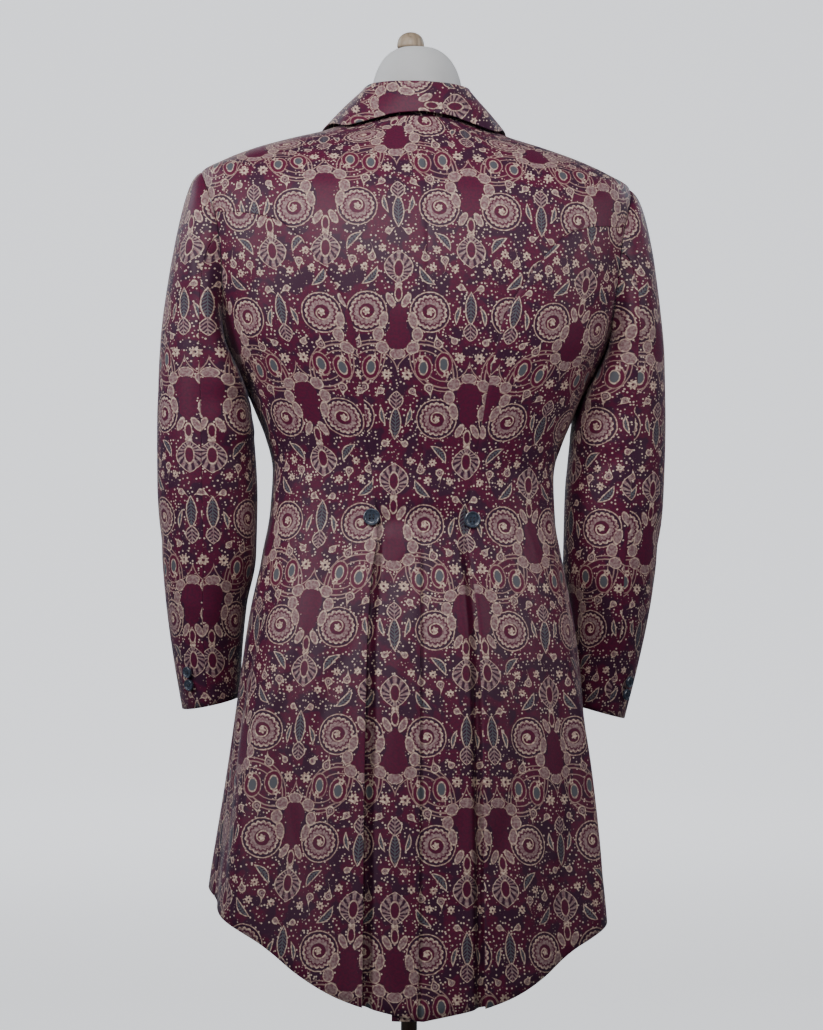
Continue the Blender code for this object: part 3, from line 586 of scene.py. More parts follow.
def add_leaf(tree, x, y, row):
    """Pointed leaf or lancet, with an outline, a midrib and slanting veins."""
    centre_x, centre_y, half_width, half_length, tilt, bend, veins = row
    across, along = turned_place(tree, x, y, centre_x, centre_y, tilt)
    part = calc(tree, "DIVIDE", along, half_length)
    square = calc(tree, "MULTIPLY", part, part)
    across = calc(tree, "SUBTRACT", across, calc(tree, "MULTIPLY", square, bend))
    narrow = calc(tree, "MAXIMUM", calc(tree, "SUBTRACT", 1.0, square), 0.0)
    rest = calc(tree, "SUBTRACT", calc(tree, "MULTIPLY", narrow, half_width), calc(tree, "ABSOLUTE", across))
    outside = calc(tree, "MULTIPLY", rest, -1.0)
    body = soft_step(tree, outside, -0.0004, 0.0004)
    rim = calc(tree, "SUBTRACT", body, soft_step(tree, outside, -0.0017, 0.0004))
    slant = calc(tree, "ADD", along, calc(tree, "MULTIPLY", calc(tree, "ABSOLUTE", across), -0.9))
    if veins < 100:
        fan = calc(tree, "ARCTAN2", across, calc(tree, "ADD", along, half_length * 0.35))
        ribs = soft_step(tree, calc(tree, "COSINE", calc(tree, "MULTIPLY", fan, veins)), -0.1, 0.6)
        ribs = calc(tree, "SUBTRACT", 1.0, ribs)
    else:
        ribs = soft_step(tree, calc(tree, "SINE", calc(tree, "MULTIPLY", slant, veins)), -0.1, 0.5)
    midrib = line_at(tree, across, 0.0, 0.0005)
    veined = calc(tree, "MULTIPLY", body, most(tree, ribs, midrib))
    return body, rim, veined


def add_paisley(tree, x, y, row):
    """Small drop with a bent tip, an outline and a bead row in its middle."""
    centre_x, centre_y, radius, tilt, bend = row
    across, along = turned_place(tree, x, y, centre_x, centre_y, tilt)
    up = calc(tree, "DIVIDE", calc(tree, "MAXIMUM", along, 0.0), radius * 2.3)
    across = calc(tree, "SUBTRACT", across, calc(tree, "MULTIPLY", calc(tree, "MULTIPLY", up, up), bend))
    squeeze = calc(tree, "MAXIMUM", calc(tree, "SUBTRACT", 1.0, up), 0.05)
    wide = calc(tree, "DIVIDE", across, squeeze)
    tall = calc(tree, "MULTIPLY", along, calc(tree, "SUBTRACT", 1.0, calc(tree, "MULTIPLY", up, 0.60)))
    away = length_of(tree, wide, tall)
    body = soft_step(tree, away, radius, 0.0005)
    rim = line_at(tree, away, radius * 0.84, 0.0008)
    heart = line_at(tree, away, radius * 0.38, 0.0009)
    return body, rim, heart


def add_flower(tree, x, y, row):
    """Small round flower with petals round a dark eye."""
    centre_x, centre_y, radius, petals = row
    across, along = turned_place(tree, x, y, centre_x, centre_y, 0)
    away = length_of(tree, across, along)
    turn = calc(tree, "ARCTAN2", along, across)
    wave = calc(tree, "MULTIPLY", calc(tree, "COSINE", calc(tree, "MULTIPLY", turn, petals)), radius * 0.22)
    edge = calc(tree, "ADD", away, wave)
    return calc(tree, "SUBTRACT", soft_step(tree, edge, radius, 0.0005), soft_step(tree, away, radius * 0.30, 0.0004))


def new_group(name, inputs, outputs):
    """Empty shader group with named number or vector inputs and outputs."""
    tree = bpy.data.node_groups.new(name, "ShaderNodeTree")
    for label, kind in inputs:
        tree.interface.new_socket(name=label, in_out="INPUT", socket_type=kind)
    for label, kind in outputs:
        tree.interface.new_socket(name=label, in_out="OUTPUT", socket_type=kind)
    return tree, tree.nodes.new("NodeGroupInput"), tree.nodes.new("NodeGroupOutput")


def add_lobe(tree, x, y, row):
    """Oval lobe or petal with an outline."""
    centre_x, centre_y, half_width, half_length, tilt = row
    across, along = turned_place(tree, x, y, centre_x, centre_y, tilt)
    away = length_of(tree, calc(tree, "DIVIDE", across, half_width), calc(tree, "DIVIDE", along, half_length))
    soft = 0.0005 / half_width
    body = soft_step(tree, away, 1.0, soft)
    rim = calc(tree, "SUBTRACT", body, soft_step(tree, away, 1.0 - 0.0010 / half_width, soft))
    return body, rim


# Motifs of half a repeat, in metres from a mirror line and up from the line of the rosettes
REPEAT_HALF = 0.0850
REPEAT_TALL = 0.2500
REPEAT_FOOT = 0.1700
REPEAT_SWING = 0.0200
PATTERN_RISE = 0.010
ROSETTES = ((0.0370, 0.0000, 0.0232, 18),)
KEYHOLES = ((-0.0300, 0.0142, 0.0098, 0.0300),)
LOBES = (
    (0.0000, -0.0490, 0.0092, 0.0062, 0.0),
    (0.0178, -0.0420, 0.0080, 0.0066, 32.0),
    (0.0228, -0.0262, 0.0064, 0.0080, 0.0),
    (0.0172, -0.0098, 0.0052, 0.0098, 12.0),
    (0.0092, 0.0130, 0.0042, 0.0090, -28.0),
)
LEAVES = (
    (0.0000, 0.0520, 0.0175, 0.0200, 0.0, 0.0, 15.0, "stone"),
    (0.0000, -0.1310, 0.0074, 0.0210, 0.0, 0.0, 1500.0, "sage"),
    (0.0000, -0.1040, 0.0090, 0.0115, 0.0, 0.0, 1300.0, "stone"),
    (0.0160, -0.1230, 0.0034, 0.0120, -14.0, -0.0020, 1900.0, "sage"),
    (0.0310, 0.0400, 0.0050, 0.0145, 42.0, 0.0040, 1700.0, "sage"),
)
PAISLEYS = (
    (0.0470, -0.0365, 0.0058, 30.0, 0.0060),
    (0.0185, -0.0930, 0.0042, -150.0, -0.0040),
    (0.0310, 0.0640, 0.0050, 20.0, 0.0045),
    (0.0115, -0.1555, 0.0040, 75.0, 0.0030),
)
FLOWERS = (
    (0.0118, -0.0735, 0.0054, 8),
    (0.0000, 0.0292, 0.0044, 4),
    (0.0190, 0.0740, 0.0040, 6),
    (0.0400, 0.0520, 0.0040, 7),
    (0.0270, -0.0540, 0.0034, 5),
)
MEDALLIONS = ((0.0545, -0.0600, 0.0105, 0.0146),)
CORES = ((0.0000, 0.0205, 0.0046, 0.0092), (0.0000, 0.0500, 0.0060, 0.0112))
ARCS = ((0.0560, -0.0500, 0.0375, 0.0008), (0.0560, -0.0500, 0.0418, 0.0006), (0.0560, -0.0500, 0.0300, 0.0006))
TONES = ("gold", "stone", "sage", "dark", "plain")

# Colours of the silk
GROUND = (0.092, 0.0070, 0.031)
PLUM = (0.030, 0.0105, 0.0290)
GOLD = (0.620, 0.480, 0.370)
DULL_GOLD = (0.300, 0.190, 0.165)
BRIGHT = (0.640, 0.510, 0.410)
STONE = (0.300, 0.215, 0.200)
ROSE = (0.150, 0.055, 0.080)
SAGE = (0.080, 0.082, 0.096)


def half_repeat_group():
    """Masks of all motifs of one half repeat, as a group that takes the place on it."""
    tree, source, target = new_group(
        "Brocade Half Repeat",
        (("Across", "NodeSocketFloat"), ("Up", "NodeSocketFloat")),
        (("Gold", "NodeSocketFloat"), ("Stone", "NodeSocketFloat"), ("Sage", "NodeSocketFloat"),
         ("Dark", "NodeSocketFloat"), ("Plain", "NodeSocketFloat")),
    )
    x, y = source.outputs[0], source.outputs[1]
    masks = {tone: 0.0 for tone in TONES}

    def lay(mask, tone):
        masks[tone] = calc(tree, "MAXIMUM", masks[tone], mask)

    def clear_under(body):
        rest = calc(tree, "SUBTRACT", 1.0, body)
        for tone in TONES:
            if masks[tone] != 0.0:
                masks[tone] = calc(tree, "MULTIPLY", masks[tone], rest)

    for row in FLOWERS:
        lay(add_flower(tree, x, y, row), "gold")
    for row in LEAVES:
        body, rim, veined = add_leaf(tree, x, y, row[:7])
        clear_under(body)
        lay(calc(tree, "MULTIPLY", body, 0.85), "dark")
        lay(veined, row[7])
        lay(rim, "gold")
    for centre_x, centre_y, half_width, half_length in CORES:
        body, rim = add_lobe(tree, x, y, (centre_x, centre_y, half_width, half_length, 0.0))
        clear_under(body)
        lay(body, "plain")
        lay(rim, "gold")
    for row in PAISLEYS:
        body, rim, heart = add_paisley(tree, x, y, row)
        clear_under(body)
        lay(calc(tree, "MULTIPLY", body, 0.7), "dark")
        lay(rim, "gold")
        lay(heart, "stone")
    for row in ROSETTES:
        parts = add_rosette(tree, x, y, row)
        clear_under(parts["disc"])
        lay(calc(tree, "SUBTRACT", parts["disc"], parts["dark"], clamp=True), "plain")
        lay(parts["dark"], "dark")
        lay(parts["gold"], "gold")
        lay(parts["stone"], "stone")
    for row in LOBES:
        body, rim = add_lobe(tree, x, y, row)
        clear_under(body)
        lay(calc(tree, "MULTIPLY", body, 0.9), "stone")
        lay(rim, "gold")
    for centre_y, radius, stem, tall in KEYHOLES:
        across, along = turned_place(tree, x, y, 0.0, centre_y, 0)
        bulb = length_of(tree, across, along)
        beside = calc(tree, "ADD", calc(tree, "ABSOLUTE", across), radius - stem)
        over = calc(tree, "MAXIMUM", calc(tree, "SUBTRACT", along, tall), 0.0)
        under = calc(tree, "MAXIMUM", calc(tree, "MULTIPLY", along, -3.0), 0.0)
        beside = calc(tree, "ADD", calc(tree, "ADD", beside, over), under)
        away = calc(tree, "SMOOTH_MIN", bulb, beside, 0.004)
        body = soft_step(tree, away, radius, 0.0006)
        clear_under(body)
        lay(body, "plain")
    for socket, tone in zip(target.inputs, TONES):
        tree.links.new(masks[tone], socket)
    return tree


def medallion_group():
    """Oval medallion and the long double arcs round it, which cross from one half repeat into the next."""
    tree, source, target = new_group(
        "Brocade Medallion",
        (("Across", "NodeSocketFloat"), ("Up", "NodeSocketFloat")),
        (("Lines", "NodeSocketFloat"), ("Rim", "NodeSocketFloat"), ("Ground", "NodeSocketFloat"),
         ("Heart", "NodeSocketFloat")),
    )
    x, y = source.outputs[0], source.outputs[1]
    lines = 0.0
    across, along = turned_place(tree, x, y, ARCS[0][0], ARCS[0][1], 0)
    away = length_of(tree, across, along)
    for _, _, radius, half in ARCS:
        lines = calc(tree, "MAXIMUM", lines, line_at(tree, away, radius, half))
    lines = calc(tree, "MULTIPLY", lines, soft_step(tree, along, 0.004, 0.004))
    for centre_x, centre_y, half_width, half_length in MEDALLIONS:
        body, rim = add_lobe(tree, x, y, (centre_x, centre_y, half_width, half_length, 0.0))
        heart, heart_rim = add_lobe(tree, x, y, (centre_x, centre_y, half_width * 0.52, half_length * 0.60, 0.0))
    rim = calc(tree, "MAXIMUM", calc(tree, "MULTIPLY", rim, 0.6), heart_rim)
    for socket, value in zip(target.inputs, (lines, rim, body, heart)):
        tree.links.new(value, socket)
    return tree


def brocade_group():
    """Colour, height and roughness of the brocade at a place on the flat cloth."""
    tree, source, target = new_group(
        "Paisley Brocade",
        (("Flat Place", "NodeSocketVector"),),
        (("Colour", "NodeSocketColor"), ("Height", "NodeSocketFloat"), ("Roughness", "NodeSocketFloat"),
         ("Figure", "NodeSocketFloat")),
    )
    split = tree.nodes.new("ShaderNodeSeparateXYZ")
    tree.links.new(source.outputs[0], split.inputs[0])
    u, v = split.outputs[0], split.outputs[1]
    wobble = tree.nodes.new("ShaderNodeTexNoise")
    tree.links.new(source.outputs[0], wobble.inputs["Vector"])
    wobble.inputs["Scale"].default_value = 210.0
    wobble.inputs["Detail"].default_value = 1.0
    shift = calc(tree, "MULTIPLY", calc(tree, "SUBTRACT", wobble.outputs["Fac"], 0.5), 0.0012)
    x = calc(tree, "PINGPONG", calc(tree, "ADD", calc(tree, "SUBTRACT", u, 0.034), shift), REPEAT_HALF)
    y = calc(tree, "ADD", v, 2.0 + PATTERN_RISE)
    y = calc(tree, "ADD", y, shift)
    def wrapped(up):
        up = calc(tree, "MODULO", calc(tree, "ADD", up, REPEAT_FOOT), REPEAT_TALL)
        return calc(tree, "SUBTRACT", up, REPEAT_FOOT)

    wave = calc(tree, "COSINE", calc(tree, "MULTIPLY", y, 2 * math.pi / REPEAT_TALL))
    border = calc(tree, "ADD", REPEAT_HALF / 2, calc(tree, "MULTIPLY", wave, REPEAT_SWING))
    far = calc(tree, "GREATER_THAN", x, border)
    turned_x = calc(tree, "SUBTRACT", REPEAT_HALF, x)
    upright = wrapped(y)
    upturned = wrapped(calc(tree, "SUBTRACT", 12.5 * REPEAT_TALL, y))
    figures = tree.nodes.new("ShaderNodeGroup")
    figures.node_tree = half_repeat_group()
    for label, near_value, far_value in (("Across", x, turned_x), ("Up", upright, upturned)):
        step = calc(tree, "MULTIPLY", far, calc(tree, "SUBTRACT", far_value, near_value))
        tree.links.new(calc(tree, "ADD", near_value, step), figures.inputs[label])
    tones = {label: figures.outputs[label] for label in ("Gold", "Stone", "Sage", "Dark", "Plain")}
    ovals = []
    medallion = medallion_group()
    for across, up in ((x, upright), (turned_x, upturned)):
        node = tree.nodes.new("ShaderNodeGroup")
        node.node_tree = medallion
        tree.links.new(across, node.inputs["Across"])
        tree.links.new(up, node.inputs["Up"])
        ovals.append(node)
    for label in ("Lines", "Rim", "Ground", "Heart"):
        tones[label] = calc(tree, "MAXIMUM", ovals[0].outputs[label], ovals[1].outputs[label])
    cells = tree.nodes.new("ShaderNodeTexVoronoi")
    tree.links.new(source.outputs[0], cells.inputs["Vector"])
    cells.inputs["Scale"].default_value = 250.0
    cells.inputs["Randomness"].default_value = 0.75
    seeds = soft_step(tree, cells.outputs["Distance"], 0.27, 0.08)
    patches = tree.nodes.new("ShaderNodeTexNoise")
    tree.links.new(source.outputs[0], patches.inputs["Vector"])
    patches.inputs["Scale"].default_value = 42.0
    patches.inputs["Detail"].default_value = 2.0
    dusk = soft_step(tree, patches.outputs["Fac"], 0.50, 0.06)
    busy = most(tree, tones["Gold"], tones["Stone"], tones["Sage"], tones["Plain"], tones["Ground"])
    free = calc(tree, "SUBTRACT", 1.0, calc(tree, "MAXIMUM", busy, tones["Dark"]))
    seeds = calc(tree, "MULTIPLY", seeds, calc(tree, "MULTIPLY", free, 0.85))
    dark = calc(tree, "MAXIMUM", tones["Dark"], calc(tree, "MULTIPLY", calc(tree, "MULTIPLY", dusk, free), 0.85))

    def over(below, colour, mask):
        mix = tree.nodes.new("ShaderNodeMix")
        mix.data_type = "RGBA"
        tree.links.new(mask, mix.inputs[0])
        if isinstance(below, tuple):
            mix.inputs[6].default_value = (*below, 1.0)
        else:
            tree.links.new(below, mix.inputs[6])
        if isinstance(colour, tuple):
            mix.inputs[7].default_value = (*colour, 1.0)
        else:
            tree.links.new(colour, mix.inputs[7])
        return mix.outputs[2]

    slub = tree.nodes.new("ShaderNodeTexNoise")
    tree.links.new(source.outputs[0], slub.inputs["Vector"])
    slub.inputs["Scale"].default_value = 320.0
    slub.inputs["Detail"].default_value = 2.0
    shine = soft_step(tree, slub.outputs["Fac"], 0.50, 0.14)
    cream = over(GOLD, DULL_GOLD, shine)
    blush = over(STONE, ROSE, calc(tree, "MULTIPLY", shine, 0.8))
    colour = over(GROUND, PLUM, calc(tree, "MAXIMUM", dark, calc(tree, "MULTIPLY", shine, 0.45)))
    colour = over(colour, BRIGHT, seeds)
    lines = calc(tree, "MULTIPLY", tones["Lines"], free)
    colour = over(colour, DULL_GOLD, lines)
    colour = over(colour, GROUND, tones["Ground"])
    colour = over(colour, SAGE, tones["Heart"])
    colour = over(colour, cream, tones["Rim"])
    colour = over(colour, SAGE, tones["Sage"])
    colour = over(colour, blush, tones["Stone"])
    colour = over(colour, cream, tones["Gold"])
    figure = most(tree, tones["Gold"], tones["Stone"], tones["Sage"], seeds)
    ribs = calc(tree, "SINE", calc(tree, "MULTIPLY", v, 2 * math.pi / 0.00085))
    threads = calc(tree, "SINE", calc(tree, "MULTIPLY", u, 2 * math.pi / 0.00060))
    weave = calc(tree, "MULTIPLY", calc(tree, "MULTIPLY", ribs, threads), 0.10)
    height = calc(tree, "ADD", weave, calc(tree, "MULTIPLY", slub.outputs["Fac"], 0.5))
    rough = calc(tree, "ADD", 0.48, calc(tree, "MULTIPLY", figure, 0.16))
    for socket, value in zip(target.inputs, (colour, height, rough, figure)):
        tree.links.new(value, socket)
    return tree


def brocade_material():
    """Satin-ground silk brocade with the woven paisley, its sheen and its fine ribs."""
    made = bpy.data.materials.new("paisley_brocade")
    made.use_nodes = True
    tree = made.node_tree
    shader = tree.nodes["Principled BSDF"]
    uv = tree.nodes.new("ShaderNodeUVMap")
    uv.uv_map = "FlatCloth"
    pattern = tree.nodes.new("ShaderNodeGroup")
    pattern.node_tree = brocade_group()
    tree.links.new(uv.outputs[0], pattern.inputs[0])
    tree.links.new(pattern.outputs["Colour"], shader.inputs["Base Color"])
    tree.links.new(pattern.outputs["Roughness"], shader.inputs["Roughness"])
    relief = tree.nodes.new("ShaderNodeBump")
    relief.inputs["Distance"].default_value = 0.00022
    relief.inputs["Strength"].default_value = 0.8
    tree.links.new(pattern.outputs["Height"], relief.inputs["Height"])
    tree.links.new(relief.outputs[0], shader.inputs["Normal"])
    shader.inputs["Sheen Weight"].default_value = 0.11
    shader.inputs["Sheen Roughness"].default_value = 0.32
    shader.inputs["Sheen Tint"].default_value = (0.52, 0.60, 0.78, 1.0)
    shader.inputs["Specular IOR Level"].default_value = 0.20
    return made


BROCADE = brocade_material()


def cloth_shell(name, grid, out, flat, side):
    """Thin closed shell about a grid, with soft edges and each point's place on the flat cloth."""
    grid = grid * np.array([side, 1, 1])
    out = out * np.array([side, 1, 1])
    flat = flat * np.array([side, 1])
    rows, cols = grid.shape[:2]
    count = rows * cols
    i, j = np.meshgrid(np.arange(rows - 1), np.arange(cols - 1), indexing="ij")
    a = (i * cols + j).ravel()
    quads = np.stack([a, a + 1, a + cols + 1, a + cols], 1)
    ring = np.concatenate([
        np.arange(cols), np.arange(1, rows) * cols + cols - 1,
        (rows - 1) * cols + np.arange(cols - 2, -1, -1), np.arange(rows - 2, 0, -1) * cols,
    ])
    r, c = ring // cols, ring % cols
    away = grid[r, c] - grid[np.clip(r, 1, rows - 2), np.clip(c, 1, cols - 2)]
    away = away / np.maximum(np.linalg.norm(away, axis=1, keepdims=True), 1e-9)
    face = grid + out * (CLOTH / 2)
    lining = grid - out * (CLOTH / 2)
    points = np.concatenate([face.reshape(-1, 3), lining.reshape(-1, 3), grid[r, c] + away * CLOTH * 0.3])
    place = np.concatenate([flat.reshape(-1, 2), flat.reshape(-1, 2), flat[r, c]])
    mid = 2 * count + np.arange(len(ring))
    after = np.roll(ring, -1)
    mid_after = np.roll(mid, -1)
    faces = np.concatenate([
        quads, quads[:, ::-1] + count,
        np.stack([after, ring, mid, mid_after], 1),
        np.stack([mid_after, mid, ring + count, after + count], 1),
    ])
    middle = (rows // 2, cols // 2)
    turn = np.cross(grid[middle[0], middle[1] + 1] - grid[middle], grid[middle[0] + 1, middle[1]] - grid[middle])
    if float(np.dot(turn, out[middle])) < 0:
        faces = faces[:, ::-1]
    mesh = bpy.data.meshes.new(name)
    mesh.from_pydata(lean(points).tolist(), [], faces.tolist())
    mesh.polygons.foreach_set("use_smooth", [True] * len(mesh.polygons))
    layer = mesh.uv_layers.new(name="FlatCloth")
    corners = np.empty(len(mesh.loops), np.int32)
    mesh.loops.foreach_get("vertex_index", corners)
    layer.data.foreach_set("uv", place[corners].ravel())
    piece = bpy.data.objects.new(name, mesh)
    bpy.context.scene.collection.objects.link(piece)
    mesh.materials.append(BROCADE)
    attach(piece, "root")
    return piece


def panel_area(grid):
    """Area of a grid's surface in square metres."""
    one = np.cross(grid[1:, :-1] - grid[:-1, :-1], grid[:-1, 1:] - grid[:-1, :-1])
    two = np.cross(grid[1:, :-1] - grid[1:, 1:], grid[:-1, 1:] - grid[1:, 1:])
    return float(np.linalg.norm(one, axis=2).sum() + np.linalg.norm(two, axis=2).sum()) / 2


def hang(name, node, grid, out, flat, side):
    piece = cloth_shell(name, grid, out, flat, side)
    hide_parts(node)
    wide = float(np.ptp(flat[..., 0]))
    long = float(np.ptp(flat[..., 1]))
    area = panel_area(grid)
    wide = max(wide, area / long * 1.001)
    return piece


FLAT = flat_tables()

for side, word in ((1, "left"), (-1, "right")):
    grid, out, flat = back(side)
    hang(f"back_{word}_cloth", f"back_{word}", grid, out, flat, side)


# Side backs: left and right, each cut in one with its skirt from the same brocade.
# Seamed to the back from the armhole to the waist button; below it, the back edge is folded
# under and hangs free as the pleat.

def side_back(side):
    """Side back, cut in one from the armhole to the hem, its lower edge the fold of the pleat."""
    seam_z, seam_x = seam_rows(1)
    skirt = skirt_levels()
    inner_z = np.concatenate([seam_z, skirt])
    inner_x = np.concatenate([seam_x, through(PLEAT, 1, skirt)])
    inner_angle = angle_at(inner_x, inner_z)
    turns = np.linspace(1.11, math.pi, 8)
    hole_angle, hole_z = armhole(turns)
    hole_angle[-1] = 0.0
    low = np.linspace(ARMHOLE_BOTTOM, 1.0600, ROWS_BODICE - 7)[1:]
    outer_z = np.concatenate([hole_z, low, skirt])
    outer_angle = np.concatenate([hole_angle, 0 * low, 0 * skirt])
    outer_angle = edge_gap(outer_angle, outer_z, 1)
    outer_angle[:7] = edge_gap(hole_angle[:7], hole_z[:7], 1)
    return patch(
        np.stack([inner_angle, inner_z], 1),
        np.stack([outer_angle, outer_z], 1),
        11,
        len(outer_z) - len(SKIRT_STEPS),
        lambda angle, z: folds_at(angle, z) + pleat_rise(angle, z),
        side,
        48.0,
    )


for side, word in ((1, "left"), (-1, "right")):
    grid, out, flat = side_back(side)
    hang(f"side_back_{word}_cloth", f"side_back_{word}", grid, out, flat, side)


# Pleats: the layer of brocade turned in under each side back's fold edge.
# It lies against the inside of the skirt and shows where the pleat opens.


def pleat(side):
    """The layer turned in beneath the pleat's fold edge."""
    z = skirt_levels()[2:]
    across = through(PLEAT, 1, z)
    inner = edge_gap(angle_at(across + 0.001, z), z, -1)
    outer = angle_at(across + PLEAT_UNDER, z)
    left = np.stack([inner, z], 1)
    right = np.stack([outer, z], 1)
    return patch(left, right, 4, 0, lambda a, h: folds_at(a, h) + pleat_rise(a, h) - LAYER, side, 48.0)


for side, word in ((1, "left"), (-1, "right")):
    grid, out, flat = pleat(side)
    hang(f"pleat_{word}_cloth", f"pleat_{word}", grid, out, flat, side)


# Foreparts: left and right front with their skirt, of the same brocade, faced inside.
# Seamed to the side backs under the arm, and buttoned edge over edge down the front.
# Front edge: height and distance from the middle
FRONT_EDGE = (
    (1.5335, 0.0740),
    (1.5250, 0.0790),
    (1.5100, 0.0800),
    (1.4900, 0.0775),
    (1.4500, 0.0680),
    (1.4000, 0.0560),
    (1.3000, 0.0320),
    (1.2150, 0.0110),
)
FRONT_CLOSE = 1.2150
FRONT_LAP = 0.020
FRONT_BUTTONS = (1.185, 1.120, 1.055)


def forepart(side):
    """Forepart: shoulder, front of the armhole, side seam, hem and the buttoned front edge."""
    upper = np.array([1.5335, 1.5260, 1.5185, 1.5075, 1.4935, 1.4780, 1.4700])
    turns = np.array([-0.10, -0.45, -0.80, -1.15, -1.50, -1.85, -2.20, -2.55, -2.90, -math.pi])
    hole_angle, hole_z = armhole(turns)
    hole_angle[-1] = 0.0
    low = np.linspace(ARMHOLE_BOTTOM, 1.0600, ROWS_BODICE - 7)[1:]
    skirt = skirt_levels()
    outer_z = np.concatenate([upper, hole_z, low, skirt])
    outer_angle = np.concatenate([np.zeros(len(upper)) - 0.003, hole_angle, 0 * low, 0 * skirt])
    outer_angle = edge_gap(outer_angle, outer_z, -1)
    rows = len(upper) + len(hole_z) + len(low)
    inner_z = np.concatenate([upper[:4], np.linspace(1.4950, 1.0600, rows - 4), skirt])
    edge = through(FRONT_EDGE, 1, np.maximum(inner_z, FRONT_CLOSE))
    closed = ease((FRONT_CLOSE + 0.012 - inner_z) / 0.024)
    inner_x = edge * (1 - closed) + -FRONT_LAP * closed
    inner_angle = angle_at(inner_x, inner_z, front=True)

    def lift(angle, z):
        x = on_ring(angle, z)[..., 0]
        raised = 0 * x
        if side > 0:
            raised = LAYER * 1.1 * ease((FRONT_CLOSE + 0.024 - z) / 0.016) * ease((0.062 - x) / 0.030)
        return raised + folds_at(angle, z)

    return patch(
        np.stack([outer_angle, outer_z], 1),
        np.stack([inner_angle, inner_z], 1),
        11,
        len(outer_z) - len(SKIRT_STEPS),
        lift,
        side,
        -45.0,
    )


for side, word in ((1, "left"), (-1, "right")):
    grid, out, flat = forepart(side)
    hang(f"forepart_{word}_cloth", f"forepart_{word}", grid, out, flat, side)


# Lapels: the top of each forepart turned back over itself and pressed flat.
# Brocade on both faces, running up to the notch at the collar's end.
# Height on the roll line, and the point on the outer edge
LAPEL = (
    (1.4975, 0.1050, 1.4880),
    (1.4920, 0.1300, 1.4800),
    (1.4780, 0.1370, 1.4660),
    (1.4480, 0.1370, 1.4360),
    (1.4080, 0.1280, 1.3960),
    (1.3580, 0.1090, 1.3480),
    (1.3080, 0.0840, 1.3000),
    (1.2680, 0.0590, 1.2620),
    (1.2450, 0.0420, 1.2410),
)
LAPEL_LIFT = 0.0032


def lapel(side):
    """Lapel folded back on the forepart, with the roll of its folded edge."""
    rows = np.array(LAPEL)
    roll_x = through(FRONT_EDGE, 1, rows[:, 0])
    start = angle_at(roll_x, rows[:, 0], front=True)
    end = angle_at(rows[:, 1], rows[:, 2], front=True)
    shares = np.array([0.0, 0.14, 0.30, 0.48, 0.66, 0.84, 1.0])
    angle = start[:, None] + (end - start)[:, None] * shares
    z = rows[:, :1] + (rows[:, 2] - rows[:, 0])[:, None] * shares
    out = normal_at(angle, z)
    leaf = on_ring(angle, z) + out * LAPEL_LIFT
    leaf = leaf + out * 0.004 * np.sin(np.pi * np.sqrt(shares))[None, :, None] * 0.6
    edge = on_ring(angle[:, 0], z[:, 0])
    away = edge - on_ring(angle[:, 1], z[:, 1])
    away = away / np.linalg.norm(away, axis=1, keepdims=True)
    half = LAPEL_LIFT / 2
    roll = []
    for turn in (-80.0, -40.0, 0.0, 40.0, 80.0):
        reach = half * math.cos(math.radians(turn)) + WALL
        height = half + half * math.sin(math.radians(turn))
        roll.append(edge + away * (reach + 0.0012) + out[:, 0] * height)
    grid = np.concatenate([np.stack(roll, 1), leaf], axis=1)
    return grid, np.concatenate([np.zeros_like(grid[:, :5]), out], axis=1)


def flat_grid(grid, zero_row, zero_column):
    """Place on the flat cloth of each point of a grid, measured along its rows and columns."""
    step = np.linalg.norm(np.diff(grid, axis=1), axis=2)
    u = np.concatenate([np.zeros((len(grid), 1)), np.cumsum(step, axis=1)], axis=1)
    fall = np.linalg.norm(np.diff(grid, axis=0), axis=2)
    v = np.concatenate([np.zeros((1, grid.shape[1])), -np.cumsum(fall, axis=0)], axis=0)
    return np.stack([u - u[:, zero_column:zero_column + 1], v - v[zero_row:zero_row + 1]], -1)


for side, word in ((1, "left"), (-1, "right")):
    grid, out = lapel(side)
    hang(f"lapel_{word}_cloth", f"lapel_{word}", grid, out, flat_grid(grid, 0, 5), side)


# Collar: stand, fold and leaf in one strip of brocade over a canvas under collar.
# Sewn round the neck seam and turned down over it.
# Half collar from the centre back to its front end: foot, fold line and edge of the leaf
COLLAR = (
    (0.0000, 0.0610, 1.5352, 0.0000, 0.0575, 1.5745, 0.0000, 0.0690, 1.5400),
    (0.0280, 0.0567, 1.5352, 0.0262, 0.0522, 1.5742, 0.0310, 0.0650, 1.5370),
    (0.0520, 0.0434, 1.5352, 0.0465, 0.0387, 1.5740, 0.0610, 0.0590, 1.5290),
    (0.0685, 0.0240, 1.5352, 0.0590, 0.0205, 1.5735, 0.0900, 0.0500, 1.5220),
    (0.0742, 0.0000, 1.5352, 0.0627, -0.0020, 1.5725, 0.1050, 0.0060, 1.5290),
    (0.0790, -0.0250, 1.5332, 0.0650, -0.0240, 1.5660, 0.1130, -0.0320, 1.5220),
    (0.0830, -0.0470, 1.5240, 0.0720, -0.0470, 1.5440, 0.1130, -0.0580, 1.5090),
    (0.0820, -0.0640, 1.5090, 0.0790, -0.0680, 1.5150, 0.1060, -0.0735, 1.4960),
)
COLLAR_TURN = 0.0021


